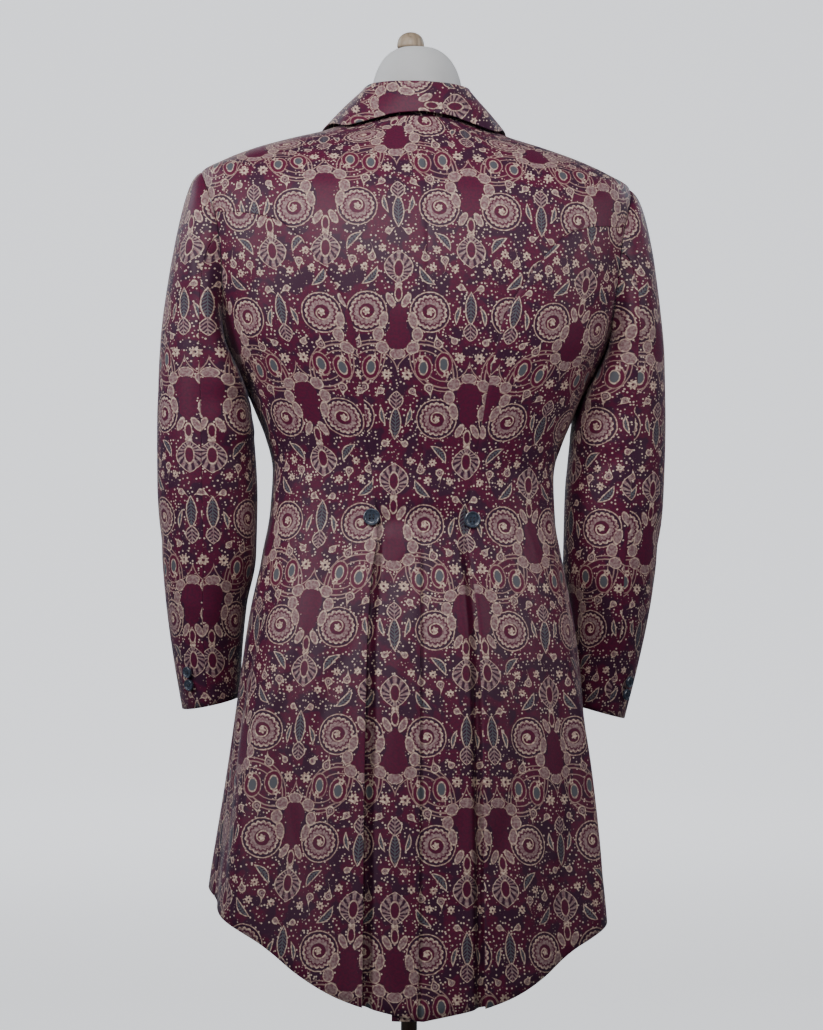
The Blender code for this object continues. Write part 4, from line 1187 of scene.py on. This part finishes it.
def collar():
    """Turned-down collar in one piece: stand, fold and leaf, from one front end to the other."""
    half = smooth_rows(COLLAR, 51)
    stations = np.concatenate([half[:0:-1] * np.array([-1, 1, 1] * 3), half])
    foot, fold, edge = stations[:, :3], stations[:, 3:6], stations[:, 6:]
    outward = fold - np.array([0, -0.004, 0])
    outward[:, 2] = 0
    outward = outward / np.linalg.norm(outward, axis=1, keepdims=True)
    up = np.array([0, 0, 1.0])
    columns = [
        foot, (foot * 2 + fold) / 3 - outward * 0.0005, (foot + fold) / 2 - outward * 0.0015,
        (foot + fold * 2) / 3 - outward * COLLAR_TURN, (foot + fold * 5) / 6 - outward * COLLAR_TURN,
    ]
    for turn in range(180, -1, -15):
        across = math.cos(math.radians(turn)) * COLLAR_TURN
        rise = math.sin(math.radians(turn)) * COLLAR_TURN
        columns.append(fold + outward * across + up * rise)
    last = columns[-1]
    for share in (0.08, 0.2, 0.35, 0.5, 0.65, 0.8, 0.92, 0.98):
        columns.append(last + (edge - last) * share + outward * 0.002 * math.sin(math.pi * share))
    columns.append(edge)
    grid = np.stack(columns, 1)
    out = grid_normals(grid)
    if float(np.dot(out[51, -4], outward[51])) < 0:
        out = -out
    return grid, out


grid, out = collar()
hang("collar_cloth", "collar", grid, out, flat_grid(grid, len(grid) // 2, 8), 1)


# Sleeves: top and under sleeve of brocade, joined by the hindarm and forearm seams.
# The head is eased into the armhole, so it stands full, and the cloth bunches under the arm.
# Sections down the sleeve: outer point, inner point, middle, half depth and squareness
SLEEVE = (
    (0.2690, 1.4680, 0.2360, 1.2660, -0.0020, 0.0710, 2.2),
    (0.2800, 1.4450, 0.2340, 1.2550, -0.0030, 0.0770, 2.2),
    (0.2880, 1.3900, 0.2275, 1.2380, -0.0045, 0.0790, 2.2),
    (0.2980, 1.3300, 0.2160, 1.2120, -0.0060, 0.0780, 2.1),
    (0.3060, 1.2600, 0.2020, 1.1820, -0.0070, 0.0750, 2.1),
    (0.3090, 1.1700, 0.1920, 1.1300, -0.0080, 0.0710, 2.0),
    (0.3080, 1.0900, 0.1885, 1.0700, -0.0110, 0.0670, 2.0),
    (0.3020, 1.0100, 0.1890, 1.0050, -0.0200, 0.0630, 2.0),
    (0.2950, 0.9400, 0.1990, 0.9450, -0.0360, 0.0600, 2.0),
    (0.2860, 0.8800, 0.2030, 0.8900, -0.0540, 0.0580, 2.0),
    (0.2740, 0.8150, 0.2050, 0.8320, -0.0740, 0.0560, 2.0),
)
HINDARM = 82.0
FOREARM = 262.0
SLEEVE_GAP = 0.0007
SLEEVE_SEAT = 0.0009
SLEEVE_HEAD = 0.22
SLEEVE_RADIUS = 0.062
SLEEVE_LENGTH = 0.660
ARMPIT_FULL = 0.0092
ARMPIT_LEVEL = 1.216

# Creases: side, angle round the sleeve, share of its length, tilt, length, width and depth
SLEEVE_CREASES = (
    (0, 120.0, 0.42, 30.0, 0.045, 0.0090, -0.0030),
    (0, 140.0, 0.47, 20.0, 0.050, 0.0090, 0.0026),
    (0, 110.0, 0.52, -15.0, 0.045, 0.0090, -0.0028),
    (1, 60.0, 0.30, 60.0, 0.060, 0.0120, -0.0022),
    (-1, 70.0, 0.34, 50.0, 0.060, 0.0120, -0.0024),
    (0, 30.0, 0.66, 25.0, 0.060, 0.0120, -0.0018),
    (0, 75.0, 0.80, -20.0, 0.050, 0.0110, 0.0018),
    (0, -60.0, 0.50, 20.0, 0.050, 0.0110, -0.0024),
    (0, -110.0, 0.56, -10.0, 0.050, 0.0110, 0.0022),
    (0, 88.0, 0.14, 80.0, 0.050, 0.0100, -0.0020),
)


def sleeve_ring(row, turn, share):
    """One section of the sleeve, which starts as the armhole's own oval."""
    angle, z = armhole(turn)
    hole = on_ring(angle, z) + normal_at(angle, z) * SLEEVE_SEAT
    blend = ease(share / SLEEVE_HEAD)
    return hole * (1 - blend) + sleeve_point(row, turn) * blend


def sleeve_point(row, turn):
    outer = np.array([row[0], 0, row[1]])
    inner = np.array([row[2], 0, row[3]])
    middle = (outer + inner) / 2
    spoke = (outer - inner) / 2
    power = row[6]
    cos = np.cos(turn)
    sin = np.sin(turn)
    reach = (np.abs(cos) ** power + np.abs(sin) ** power) ** (1 / power)
    x = middle[0] + spoke[0] * cos / reach
    z = middle[2] + spoke[2] * cos / reach
    y = row[4] + row[5] * sin / reach
    return np.stack([x, y, z], -1)


def sleeve(side, first, last, columns):
    rows = smooth_rows(SLEEVE, 14 * FINER + 1)
    gap = SLEEVE_GAP / 2 / rows[-1][5]
    share = fine_shares((columns - 1) * FINER + 1)
    turns = math.radians(first) + gap + (math.radians(last - first) - 2 * gap) * share
    turns = np.concatenate([[2 * turns[0] - turns[1]], turns, [2 * turns[-1] - turns[-2]]])
    shares = np.linspace(0, 1, len(rows))
    wrapped = (turns + math.pi) % (2 * math.pi) - math.pi
    grid = np.stack([sleeve_ring(row, wrapped, share) for row, share in zip(rows, shares)])
    middle = np.stack([sleeve_point(row, np.radians(np.array([0.0, 180.0]))).mean(0) for row in rows])
    out = grid_normals(grid)
    out = out * np.sign((out * (grid - middle[:, None])).sum(-1).mean())
    rise = np.zeros(grid.shape[:2])
    for half, place, level, tilt, length, width, depth in SLEEVE_CREASES:
        if half * side < 0:
            continue
        off = (np.degrees(wrapped) - place + 180) % 360 - 180
        across = np.radians(off)[None, :] * SLEEVE_RADIUS
        up = (level - shares)[:, None] * SLEEVE_LENGTH
        cos = math.cos(math.radians(tilt))
        sin = math.sin(math.radians(tilt))
        along = across * cos + up * sin
        away = up * cos - across * sin
        rise = rise + depth * np.exp(-((away / width) ** 2) - (along / length) ** 2)
    inner = np.clip(-out[..., 0], 0, 1)
    rise = rise + ARMPIT_FULL * inner * np.exp(-(((grid[..., 2] - ARMPIT_LEVEL) / 0.042) ** 2))
    grid = grid + out * rise[..., None]
    out = grid_normals(grid)
    out = out * np.sign((out * (grid - middle[:, None])).sum(-1).mean())
    grid, out = grid[:, 1:-1], out[:, 1:-1]
    return grid, out, sleeve_flat(grid, rows, (first + last) / 2)


def sleeve_flat(grid, rows, middle):
    """Place on the flat cloth of a sleeve's points: the grain runs down the sleeve at the named angle."""
    level = (rows[:, 1] + rows[:, 3])[::-1] / 2
    centre_x = np.interp(grid[..., 2], level, (rows[:, 0] + rows[:, 2])[::-1] / 2)
    centre_y = np.interp(grid[..., 2], level, rows[:, 4][::-1])
    turn = np.degrees(np.arctan2(grid[..., 1] - centre_y, grid[..., 0] - centre_x))
    off = (turn - middle + 180) % 360 - 180
    return np.stack([-np.radians(off) * SLEEVE_RADIUS + 0.034, (grid[..., 2] - WAIST) * 1.02], -1)


def top_sleeve(side):
    return sleeve(side, FOREARM - 360, HINDARM, 11)


def under_sleeve(side):
    return sleeve(side, HINDARM, FOREARM, 11)


for side, word in ((1, "left"), (-1, "right")):
    for piece, make in (("top_sleeve", top_sleeve), ("under_sleeve", under_sleeve)):
        grid, out, flat = make(side)
        hang(f"{piece}_{word}_cloth", f"{piece}_{word}", grid, out, flat, side)


# Buttons: two at the waist, three down the front and two on each cuff.
# Moulded four-hole buttons with a raised rim, each sewn through with two runs of thread.
WAIST_BUTTON = 0.0200
CUFF_BUTTON = 0.0140
BUTTON_THICK = 0.0036
CUFF_BUTTON_RISE = (0.030, 0.046)
HOLE_AWAY = 0.105
HOLE_RADIUS = 0.052


def solid_piece(name, node, points, faces, finish):
    """Smooth-shaded piece that stands for a node of the frame."""
    mesh = bpy.data.meshes.new(name)
    mesh.from_pydata(np.asarray(points).tolist(), [], faces)
    mesh.polygons.foreach_set("use_smooth", [True] * len(mesh.polygons))
    piece = bpy.data.objects.new(name, mesh)
    bpy.context.scene.collection.objects.link(piece)
    mesh.materials.append(finish)
    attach(piece, "root")
    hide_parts(node)
    return piece


def ring_faces(rings, count):
    """Faces of a closed body through rings of equal length, listed from bottom to top."""
    faces = [(i * count + j, i * count + (j + 1) % count, (i + 1) * count + (j + 1) % count, (i + 1) * count + j)
             for i in range(rings - 1) for j in range(count)]
    faces.append(tuple(range(count - 1, -1, -1)))
    faces.append(tuple((rings - 1) * count + j for j in range(count)))
    return faces


def button_material():
    """Moulded button, dark slate blue with a faint marbling."""
    made = bpy.data.materials.new("slate_button")
    made.use_nodes = True
    tree = made.node_tree
    shader = tree.nodes["Principled BSDF"]
    cloud = tree.nodes.new("ShaderNodeTexNoise")
    cloud.inputs["Scale"].default_value = 420.0
    cloud.inputs["Detail"].default_value = 3.0
    place = tree.nodes.new("ShaderNodeTexCoord")
    tree.links.new(place.outputs["Object"], cloud.inputs["Vector"])
    tones = tree.nodes.new("ShaderNodeValToRGB")
    tones.color_ramp.elements[0].color = (0.016, 0.021, 0.034, 1.0)
    tones.color_ramp.elements[1].color = (0.060, 0.076, 0.110, 1.0)
    tones.color_ramp.elements[0].position = 0.35
    tones.color_ramp.elements[1].position = 0.75
    tree.links.new(cloud.outputs["Fac"], tones.inputs[0])
    tree.links.new(tones.outputs[0], shader.inputs["Base Color"])
    shader.inputs["Roughness"].default_value = 0.30
    shader.inputs["Coat Weight"].default_value = 0.25
    shader.inputs["Coat Roughness"].default_value = 0.20
    return made


def thread_material():
    """Twisted sewing thread, dark slate."""
    made = bpy.data.materials.new("button_thread")
    made.use_nodes = True
    tree = made.node_tree
    shader = tree.nodes["Principled BSDF"]
    twist = tree.nodes.new("ShaderNodeTexWave")
    twist.inputs["Scale"].default_value = 900.0
    place = tree.nodes.new("ShaderNodeTexCoord")
    tree.links.new(place.outputs["Object"], twist.inputs["Vector"])
    tones = tree.nodes.new("ShaderNodeMix")
    tones.data_type = "RGBA"
    tree.links.new(twist.outputs["Fac"], tones.inputs[0])
    tones.inputs[6].default_value = (0.018, 0.018, 0.024, 1.0)
    tones.inputs[7].default_value = (0.045, 0.045, 0.058, 1.0)
    tree.links.new(tones.outputs[2], shader.inputs["Base Color"])
    shader.inputs["Roughness"].default_value = 0.75
    return made


BUTTON_FINISH = button_material()
THREAD_FINISH = thread_material()


def moulded_button(diameter):
    """Mesh of a four-hole button lying on its back, its rim raised round a dished middle."""
    r = diameter / 2
    t = BUTTON_THICK
    profile = (
        (0.80, 0.0), (0.93, 0.06), (0.99, 0.28), (1.0, 0.50), (0.985, 0.78), (0.95, 0.93), (0.89, 1.0),
        (0.83, 0.985), (0.77, 0.90), (0.70, 0.76), (0.62, 0.69), (0.40, 0.665), (0.02, 0.66),
    )
    turns = np.radians(np.arange(0, 360, 7.5))
    points = [(r * wide * math.cos(a), r * wide * math.sin(a), t * high) for wide, high in profile for a in turns]
    mesh = bpy.data.meshes.new("button_blank")
    mesh.from_pydata(points, [], ring_faces(len(profile), len(turns)))
    blank = bpy.data.objects.new("button_blank", mesh)
    bpy.context.scene.collection.objects.link(blank)
    drill_points, drill_faces = [], []
    for sx, sy in ((1, 1), (1, -1), (-1, 1), (-1, -1)):
        start = len(drill_points)
        for high in (-t, 2 * t):
            for a in np.radians(np.arange(0, 360, 22.5)):
                drill_points.append((
                    diameter * (HOLE_AWAY * sx + HOLE_RADIUS * math.cos(a)),
                    diameter * (HOLE_AWAY * sy + HOLE_RADIUS * math.sin(a)), high))
        drill_faces += [tuple(start + k for k in face) for face in ring_faces(2, 16)]
    drill_mesh = bpy.data.meshes.new("button_drill")
    drill_mesh.from_pydata(drill_points, [], drill_faces)
    drill = bpy.data.objects.new("button_drill", drill_mesh)
    bpy.context.scene.collection.objects.link(drill)
    cut = blank.modifiers.new("holes", "BOOLEAN")
    cut.object = drill
    cut.operation = "DIFFERENCE"
    bpy.context.view_layer.update()
    whole = blank.evaluated_get(bpy.context.evaluated_depsgraph_get())
    made = bpy.data.meshes.new_from_object(whole)
    for spare in (blank, drill):
        bpy.data.objects.remove(spare)
    points = np.array([tuple(v.co) for v in made.vertices])
    faces = [tuple(p.vertices) for p in made.polygons]
    return points, faces


def stitch(diameter, across):
    """One thread from hole to hole over the middle of the button, as a bent tube."""
    t = BUTTON_THICK
    path = []
    for share in np.linspace(-1, 1, 13):
        rise = t * 0.70 + 0.00055 * (1 - share**6) - (0.0012 if abs(share) > 0.99 else 0.0)
        path.append(np.array([across, diameter * HOLE_AWAY * share, rise]))
    points = []
    for place in path:
        for a in np.radians(np.arange(0, 360, 45.0)):
            points.append(place + np.array([0.00042 * math.cos(a), 0.0, 0.00042 * math.sin(a)]))
    return np.array(points), ring_faces(len(path), 8)


MOULDS = {size: moulded_button(size) for size in (WAIST_BUTTON, CUFF_BUTTON)}


def sew_button(name, centre, out, diameter):
    """Button on its spot of the cloth, facing out, with two threads through its holes."""
    out = np.array(out, float) / np.linalg.norm(out)
    across = np.cross([0, 0, 1.0], out)
    across = across / np.linalg.norm(across)
    basis = np.stack([across, np.cross(out, across), out])
    centre = lean(np.array(centre, float))
    points, faces = MOULDS[diameter]
    piece = solid_piece(f"{name}_moulded", name, points @ basis + centre, faces, BUTTON_FINISH)
    piece.data.polygons.foreach_set("use_smooth", [False] * len(piece.data.polygons))
    piece.data.materials.append(THREAD_FINISH)
    threads, sides = [], []
    for sign in (-1, 1):
        tube, tube_faces = stitch(diameter, sign * diameter * HOLE_AWAY)
        sides += [tuple(len(threads) * len(tube) + k for k in face) for face in tube_faces]
        threads.append(tube)
    mesh = bpy.data.meshes.new(f"{name}_thread")
    mesh.from_pydata((np.concatenate(threads) @ basis + centre).tolist(), [], sides)
    mesh.polygons.foreach_set("use_smooth", [True] * len(mesh.polygons))
    mesh.materials.append(THREAD_FINISH)
    thread = bpy.data.objects.new(f"{name}_thread", mesh)
    bpy.context.scene.collection.objects.link(thread)
    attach(thread, "root")


def buttons():
    for side, word in ((1, "left"), (-1, "right")):
        z = np.array(1.0560)
        angle = angle_at(0.0590, z)
        out = normal_at(angle, z) * np.array([side, 1, 1])
        spot = on_ring(angle, z) * np.array([side, 1, 1])
        sew_button(f"waist_button_{word}", spot + out * (WALL / 2 + 0.0006), out, WAIST_BUTTON)
        rows = smooth_rows(SLEEVE, 15)
        for number, rise in enumerate(CUFF_BUTTON_RISE):
            height = rows[-1][1] + rise
            row = np.array([np.interp(-height, -rows[:, 1], rows[:, c]) for c in range(7)])
            turn = math.radians(HINDARM - 30)
            spot = sleeve_point(row, np.array(turn))
            near = sleeve_point(row, np.array(turn + 0.05)) - sleeve_point(row, np.array(turn - 0.05))
            out = np.cross(near, np.array([0.0, 0.2, 1.0]))
            if out[0] < 0:
                out = -out
            out = out / np.linalg.norm(out)
            spot = spot * np.array([side, 1, 1])
            out = out * np.array([side, 1, 1])
            sew_button(f"cuff_button_{word}_{number + 1}", spot + out * (WALL / 2 + 0.0014), out, CUFF_BUTTON)
    for number, height in enumerate(FRONT_BUTTONS):
        z = np.array(height)
        angle = angle_at(0.0, z, front=True)
        out = normal_at(angle, z)
        sew_button(f"front_button_{number + 1}", on_ring(angle, z) + out * (LAYER * 1.1 + WALL / 2 + 0.0006), out, WAIST_BUTTON)


buttons()


# Form and neck cap: a limbless torso in a stretched cotton cover, and a white domed cap.
# The coat hangs on it; it is smooth, whole and clear of the cloth.
FORM_BOTTOM = 0.880
NECK_RADIUS = 0.0560
NECK_TOP = 1.6250


def cotton_material(name, colour, fine):
    """Stretched cotton cover with a plain weave."""
    made = bpy.data.materials.new(name)
    made.use_nodes = True
    tree = made.node_tree
    shader = tree.nodes["Principled BSDF"]
    place = tree.nodes.new("ShaderNodeTexCoord")
    cloud = tree.nodes.new("ShaderNodeTexNoise")
    cloud.inputs["Scale"].default_value = 30.0
    cloud.inputs["Detail"].default_value = 4.0
    tree.links.new(place.outputs["Object"], cloud.inputs["Vector"])
    tones = tree.nodes.new("ShaderNodeMix")
    tones.data_type = "RGBA"
    tree.links.new(cloud.outputs["Fac"], tones.inputs[0])
    tones.inputs[6].default_value = (*(c * 0.90 for c in colour), 1.0)
    tones.inputs[7].default_value = (*colour, 1.0)
    tree.links.new(tones.outputs[2], shader.inputs["Base Color"])
    weave = []
    for direction in ("X", "Z"):
        wave = tree.nodes.new("ShaderNodeTexWave")
        wave.bands_direction = direction
        wave.inputs["Scale"].default_value = fine
        tree.links.new(place.outputs["Object"], wave.inputs["Vector"])
        weave.append(wave.outputs["Fac"])
    relief = tree.nodes.new("ShaderNodeBump")
    relief.inputs["Distance"].default_value = 0.0002
    tree.links.new(calc(tree, "ADD", weave[0], weave[1]), relief.inputs["Height"])
    tree.links.new(relief.outputs[0], shader.inputs["Normal"])
    shader.inputs["Roughness"].default_value = 0.82
    shader.inputs["Sheen Weight"].default_value = 0.15
    return made


COVER = cotton_material("form_cover_cotton", (0.62, 0.60, 0.56), 700.0)
angles = np.radians(np.arange(0, 360, 3.75))
rings = []
torso_rows = (
    (0.880, 0.044), (0.882, 0.034), (0.886, 0.026), (0.892, 0.019), (0.900, 0.0152), (0.920, 0.014),
    (0.940, 0.014), (0.970, 0.014), (1.000, 0.014), (1.030, 0.014), (1.060, 0.014), (1.085, 0.014),
    (1.110, 0.014), (1.135, 0.014), (1.160, 0.014), (1.190, 0.014), (1.220, 0.014), (1.250, 0.014),
    (1.280, 0.014), (1.310, 0.014), (1.340, 0.014), (1.370, 0.014), (1.400, 0.014), (1.440, 0.014),
    (1.4630, 0.0115), (1.4720, 0.0065), (1.4800, 0.0036), (1.4935, 0.0026), (1.5075, 0.0026),
    (1.5185, 0.0026), (1.5270, 0.0026),
)
for z, clear in torso_rows:
    level = np.full(angles.shape, z)
    inward = normal_at(angles, level)
    if z < 1.45:
        inward[:, 2] = 0
        inward = inward / np.linalg.norm(inward, axis=1, keepdims=True)
    rings.append(on_ring(angles, level) - inward * clear)
for z, radius in ((1.5330, 0.0596), (1.5365, 0.0568), (1.5400, NECK_RADIUS), (1.5640, NECK_RADIUS - 0.001)):
    rings.append(np.stack([radius * np.cos(angles), radius * 0.92 * np.sin(angles), np.full(angles.shape, z)], -1))
solid_piece("form_torso_covered", "form_torso", lean(np.concatenate(rings)), ring_faces(len(rings), len(angles)), COVER)

CAP = cotton_material("form_neck_cotton", (0.80, 0.80, 0.81), 900.0)
rings = []
for turn in np.radians(np.linspace(0, 74, 20)):
    radius = (NECK_RADIUS - 0.001) * math.cos(turn) ** 0.75
    z = 1.5644 + (NECK_TOP - 1.5644) * math.sin(turn) / math.sin(math.radians(74))
    rings.append(np.stack([radius * np.cos(angles), radius * 0.92 * np.sin(angles), np.full(angles.shape, z)], -1))
solid_piece("form_neck_covered", "form_neck", lean(np.concatenate(rings)), ring_faces(len(rings), len(angles)), CAP)


# Finial, pole and base: turned wood, pushed together on the form's axis.
# The finial is pale, and the pole and base disc are stained dark.
FINIAL_RADIUS = 0.0165
FINIAL_HEIGHT = 0.0190
POLE_RADIUS = 0.0098
BASE_RADIUS = 0.1700


def wood_material(name, dark, light, across, along, roughness):
    """Turned wood with its grain along the pole, under a satin lacquer."""
    made = bpy.data.materials.new(name)
    made.use_nodes = True
    tree = made.node_tree
    shader = tree.nodes["Principled BSDF"]
    place = tree.nodes.new("ShaderNodeTexCoord")
    stretch = tree.nodes.new("ShaderNodeMapping")
    stretch.inputs["Scale"].default_value = (across, across, along)
    tree.links.new(place.outputs["Object"], stretch.inputs["Vector"])
    grain = tree.nodes.new("ShaderNodeTexNoise")
    grain.inputs["Scale"].default_value = 1.0
    grain.inputs["Detail"].default_value = 6.0
    grain.inputs["Distortion"].default_value = 0.6
    tree.links.new(stretch.outputs[0], grain.inputs["Vector"])
    tones = tree.nodes.new("ShaderNodeValToRGB")
    tones.color_ramp.elements[0].color = (*dark, 1.0)
    tones.color_ramp.elements[1].color = (*light, 1.0)
    tones.color_ramp.elements[0].position = 0.35
    tones.color_ramp.elements[1].position = 0.68
    tree.links.new(grain.outputs["Fac"], tones.inputs[0])
    tree.links.new(tones.outputs[0], shader.inputs["Base Color"])
    tree.links.new(calc(tree, "ADD", roughness, calc(tree, "MULTIPLY", grain.outputs["Fac"], 0.12)), shader.inputs["Roughness"])
    relief = tree.nodes.new("ShaderNodeBump")
    relief.inputs["Distance"].default_value = 0.00015
    tree.links.new(grain.outputs["Fac"], relief.inputs["Height"])
    tree.links.new(relief.outputs[0], shader.inputs["Normal"])
    return made


def turned_piece(name, node, profile, finish, x=0.0):
    """Piece turned about an upright axis, from a profile listed from bottom to top."""
    turns = np.radians(np.arange(0, 360, 5.0))
    points = [(x + r * math.cos(a), r * math.sin(a), z) for r, z in profile for a in turns]
    return solid_piece(name, node, points, ring_faces(len(profile), len(turns)), finish)


DARK_WOOD = wood_material("dark_stained_wood", (0.016, 0.009, 0.006), (0.058, 0.034, 0.022), 160.0, 9.0, 0.30)
PALE_WOOD = wood_material("pale_turned_wood", (0.20, 0.145, 0.095), (0.36, 0.28, 0.20), 190.0, 30.0, 0.38)
turned_piece("base_disc_turned", "base_disc", (
    (BASE_RADIUS - 0.0020, 0.0), (BASE_RADIUS - 0.0006, 0.0006), (BASE_RADIUS, 0.0022), (BASE_RADIUS, 0.0126),
    (BASE_RADIUS - 0.0008, 0.0148), (BASE_RADIUS - 0.0030, 0.0160), (0.120, 0.0171), (0.060, 0.0186), (0.026, 0.0200),
), DARK_WOOD)
turned_piece("pole_turned", "pole", (
    (0.0150, 0.0203), (0.0160, 0.0212), (0.0160, 0.0325), (0.0154, 0.0348), (0.0125, 0.0385), (POLE_RADIUS, 0.0420),
    (POLE_RADIUS, 0.30), (POLE_RADIUS, 0.58), (POLE_RADIUS, FORM_BOTTOM - 0.0006),
), DARK_WOOD)
top = NECK_TOP + 0.0008
turned_piece("finial_turned", "finial", (
    (FINIAL_RADIUS - 0.0010, top), (FINIAL_RADIUS - 0.0002, top + 0.0008), (FINIAL_RADIUS, top + 0.0022),
    (FINIAL_RADIUS * 0.985, top + 0.0055), (FINIAL_RADIUS * 0.93, top + 0.0095), (FINIAL_RADIUS * 0.80, top + 0.0132),
    (FINIAL_RADIUS * 0.62, top + 0.0160), (FINIAL_RADIUS * 0.38, top + 0.0180), (0.0015, top + FINIAL_HEIGHT),
), PALE_WOOD, x=-0.002)


# Studio: a floor of pale matt paper that sweeps up into a round wall, with soft lights
# at both sides and over the coat's back, and the camera at the height of the waist.
def plain_material(name, colour, roughness):
    """Matt paper of the studio's floor."""
    made = bpy.data.materials.new(name)
    made.use_nodes = True
    shader = made.node_tree.nodes["Principled BSDF"]
    shader.inputs["Base Color"].default_value = (*colour, 1.0)
    shader.inputs["Roughness"].default_value = roughness
    return made


PAPER_GLOW = 1.05


def studio():
    turns = np.radians(np.arange(0, 360, 5.0))
    profile = [(7.5 + 4.5 * math.sin(t), 4.5 - 4.5 * math.cos(t)) for t in np.radians(np.arange(0, 91, 6.0))]
    profile.append((12.0, 9.0))
    points = [(0.0, 0.0, 0.0)]
    for radius, height in profile:
        points += [(radius * math.cos(t), radius * math.sin(t), height) for t in turns]
    count = len(turns)
    faces = [(0, 1 + j, 1 + (j + 1) % count) for j in range(count)]
    for i in range(len(profile) - 1):
        for j in range(count):
            k = (j + 1) % count
            a, b = 1 + i * count, 1 + (i + 1) * count
            faces.append((a + j, b + j, b + k, a + k))
    mesh = bpy.data.meshes.new("floor_sweep")
    mesh.from_pydata(points, [], faces)
    mesh.polygons.foreach_set("use_smooth", [True] * len(mesh.polygons))
    floor = bpy.data.objects.new("floor_sweep", mesh)
    bpy.context.scene.collection.objects.link(floor)
    paper = plain_material("floor_paper", (0.335, 0.345, 0.372), 0.9)
    seen = paper.node_tree.nodes.new("ShaderNodeLightPath")
    glow = calc(paper.node_tree, "MULTIPLY", seen.outputs["Is Camera Ray"], PAPER_GLOW)
    shader = paper.node_tree.nodes["Principled BSDF"]
    shader.inputs["Emission Color"].default_value = (0.95, 0.965, 1.0, 1.0)
    paper.node_tree.links.new(glow, shader.inputs["Emission Strength"])
    mesh.materials.append(paper)


studio()
world = bpy.data.worlds.new("studio_air")
bpy.context.scene.world = world
world.use_nodes = True
world.node_tree.nodes["Background"].inputs["Color"].default_value = (0.82, 0.88, 1.0, 1.0)
world.node_tree.nodes["Background"].inputs["Strength"].default_value = 0.06


def soft_light(name, place, toward, size, power, colour, spread=180):
    lamp = bpy.data.lights.new(name, "AREA")
    lamp.shape = "RECTANGLE"
    lamp.size, lamp.size_y = size
    lamp.energy = power
    lamp.color = colour
    lamp.spread = math.radians(spread)
    obj = bpy.data.objects.new(name, lamp)
    obj.location = place
    obj.rotation_euler = (Vector(toward) - Vector(place)).to_track_quat("-Z", "Y").to_euler()
    bpy.context.scene.collection.objects.link(obj)


soft_light("side_light_left", (2.5, 1.35, 2.15), (0, 0, 1.42), (0.8, 1.2), 11.5, (0.97, 0.98, 1.0), 80)
soft_light("side_light_right", (-2.5, 1.25, 2.15), (0, 0, 1.42), (0.8, 1.2), 6.5, (0.97, 0.98, 1.0), 80)
soft_light("camera_side_light", (0.35, 2.1, 2.55), (0.02, 0, 1.36), (0.9, 0.9), 6.6, (1.0, 0.99, 0.985), 60)
soft_light("edge_light_left", (2.3, -1.7, 2.7), (0, 0, 1.40), (0.6, 0.8), 22, (0.78, 0.90, 1.0))
soft_light("edge_light_right", (-2.3, -1.7, 2.7), (0, 0, 1.40), (0.6, 0.8), 18, (0.78, 0.90, 1.0))
soft_light("backdrop_light", (0.0, -4.5, 4.5), (0, -11.0, 2.0), (4.0, 1.2), 500, (0.96, 0.975, 1.0))
soft_light("front_light", (0.4, -3.0, 2.4), (0, 0, 1.2), (1.6, 1.6), 18, (1.0, 1.0, 1.0))

CAMERA_AWAY = 3.30
CAMERA_HIGH = 1.060
CAMERA_TURN = math.radians(6.0)
camera = bpy.data.objects.new("camera", bpy.data.cameras.new("camera"))
camera.location = (CAMERA_AWAY * math.sin(CAMERA_TURN), CAMERA_AWAY * math.cos(CAMERA_TURN), CAMERA_HIGH)
camera.rotation_euler = (math.radians(90), 0, math.pi - CAMERA_TURN)
camera.data.sensor_fit = "VERTICAL"
camera.data.sensor_height = 36.0
camera.data.lens = 95.2
camera.data.shift_x = 2.5 / 1030
bpy.context.scene.collection.objects.link(camera)
bpy.context.scene.camera = camera
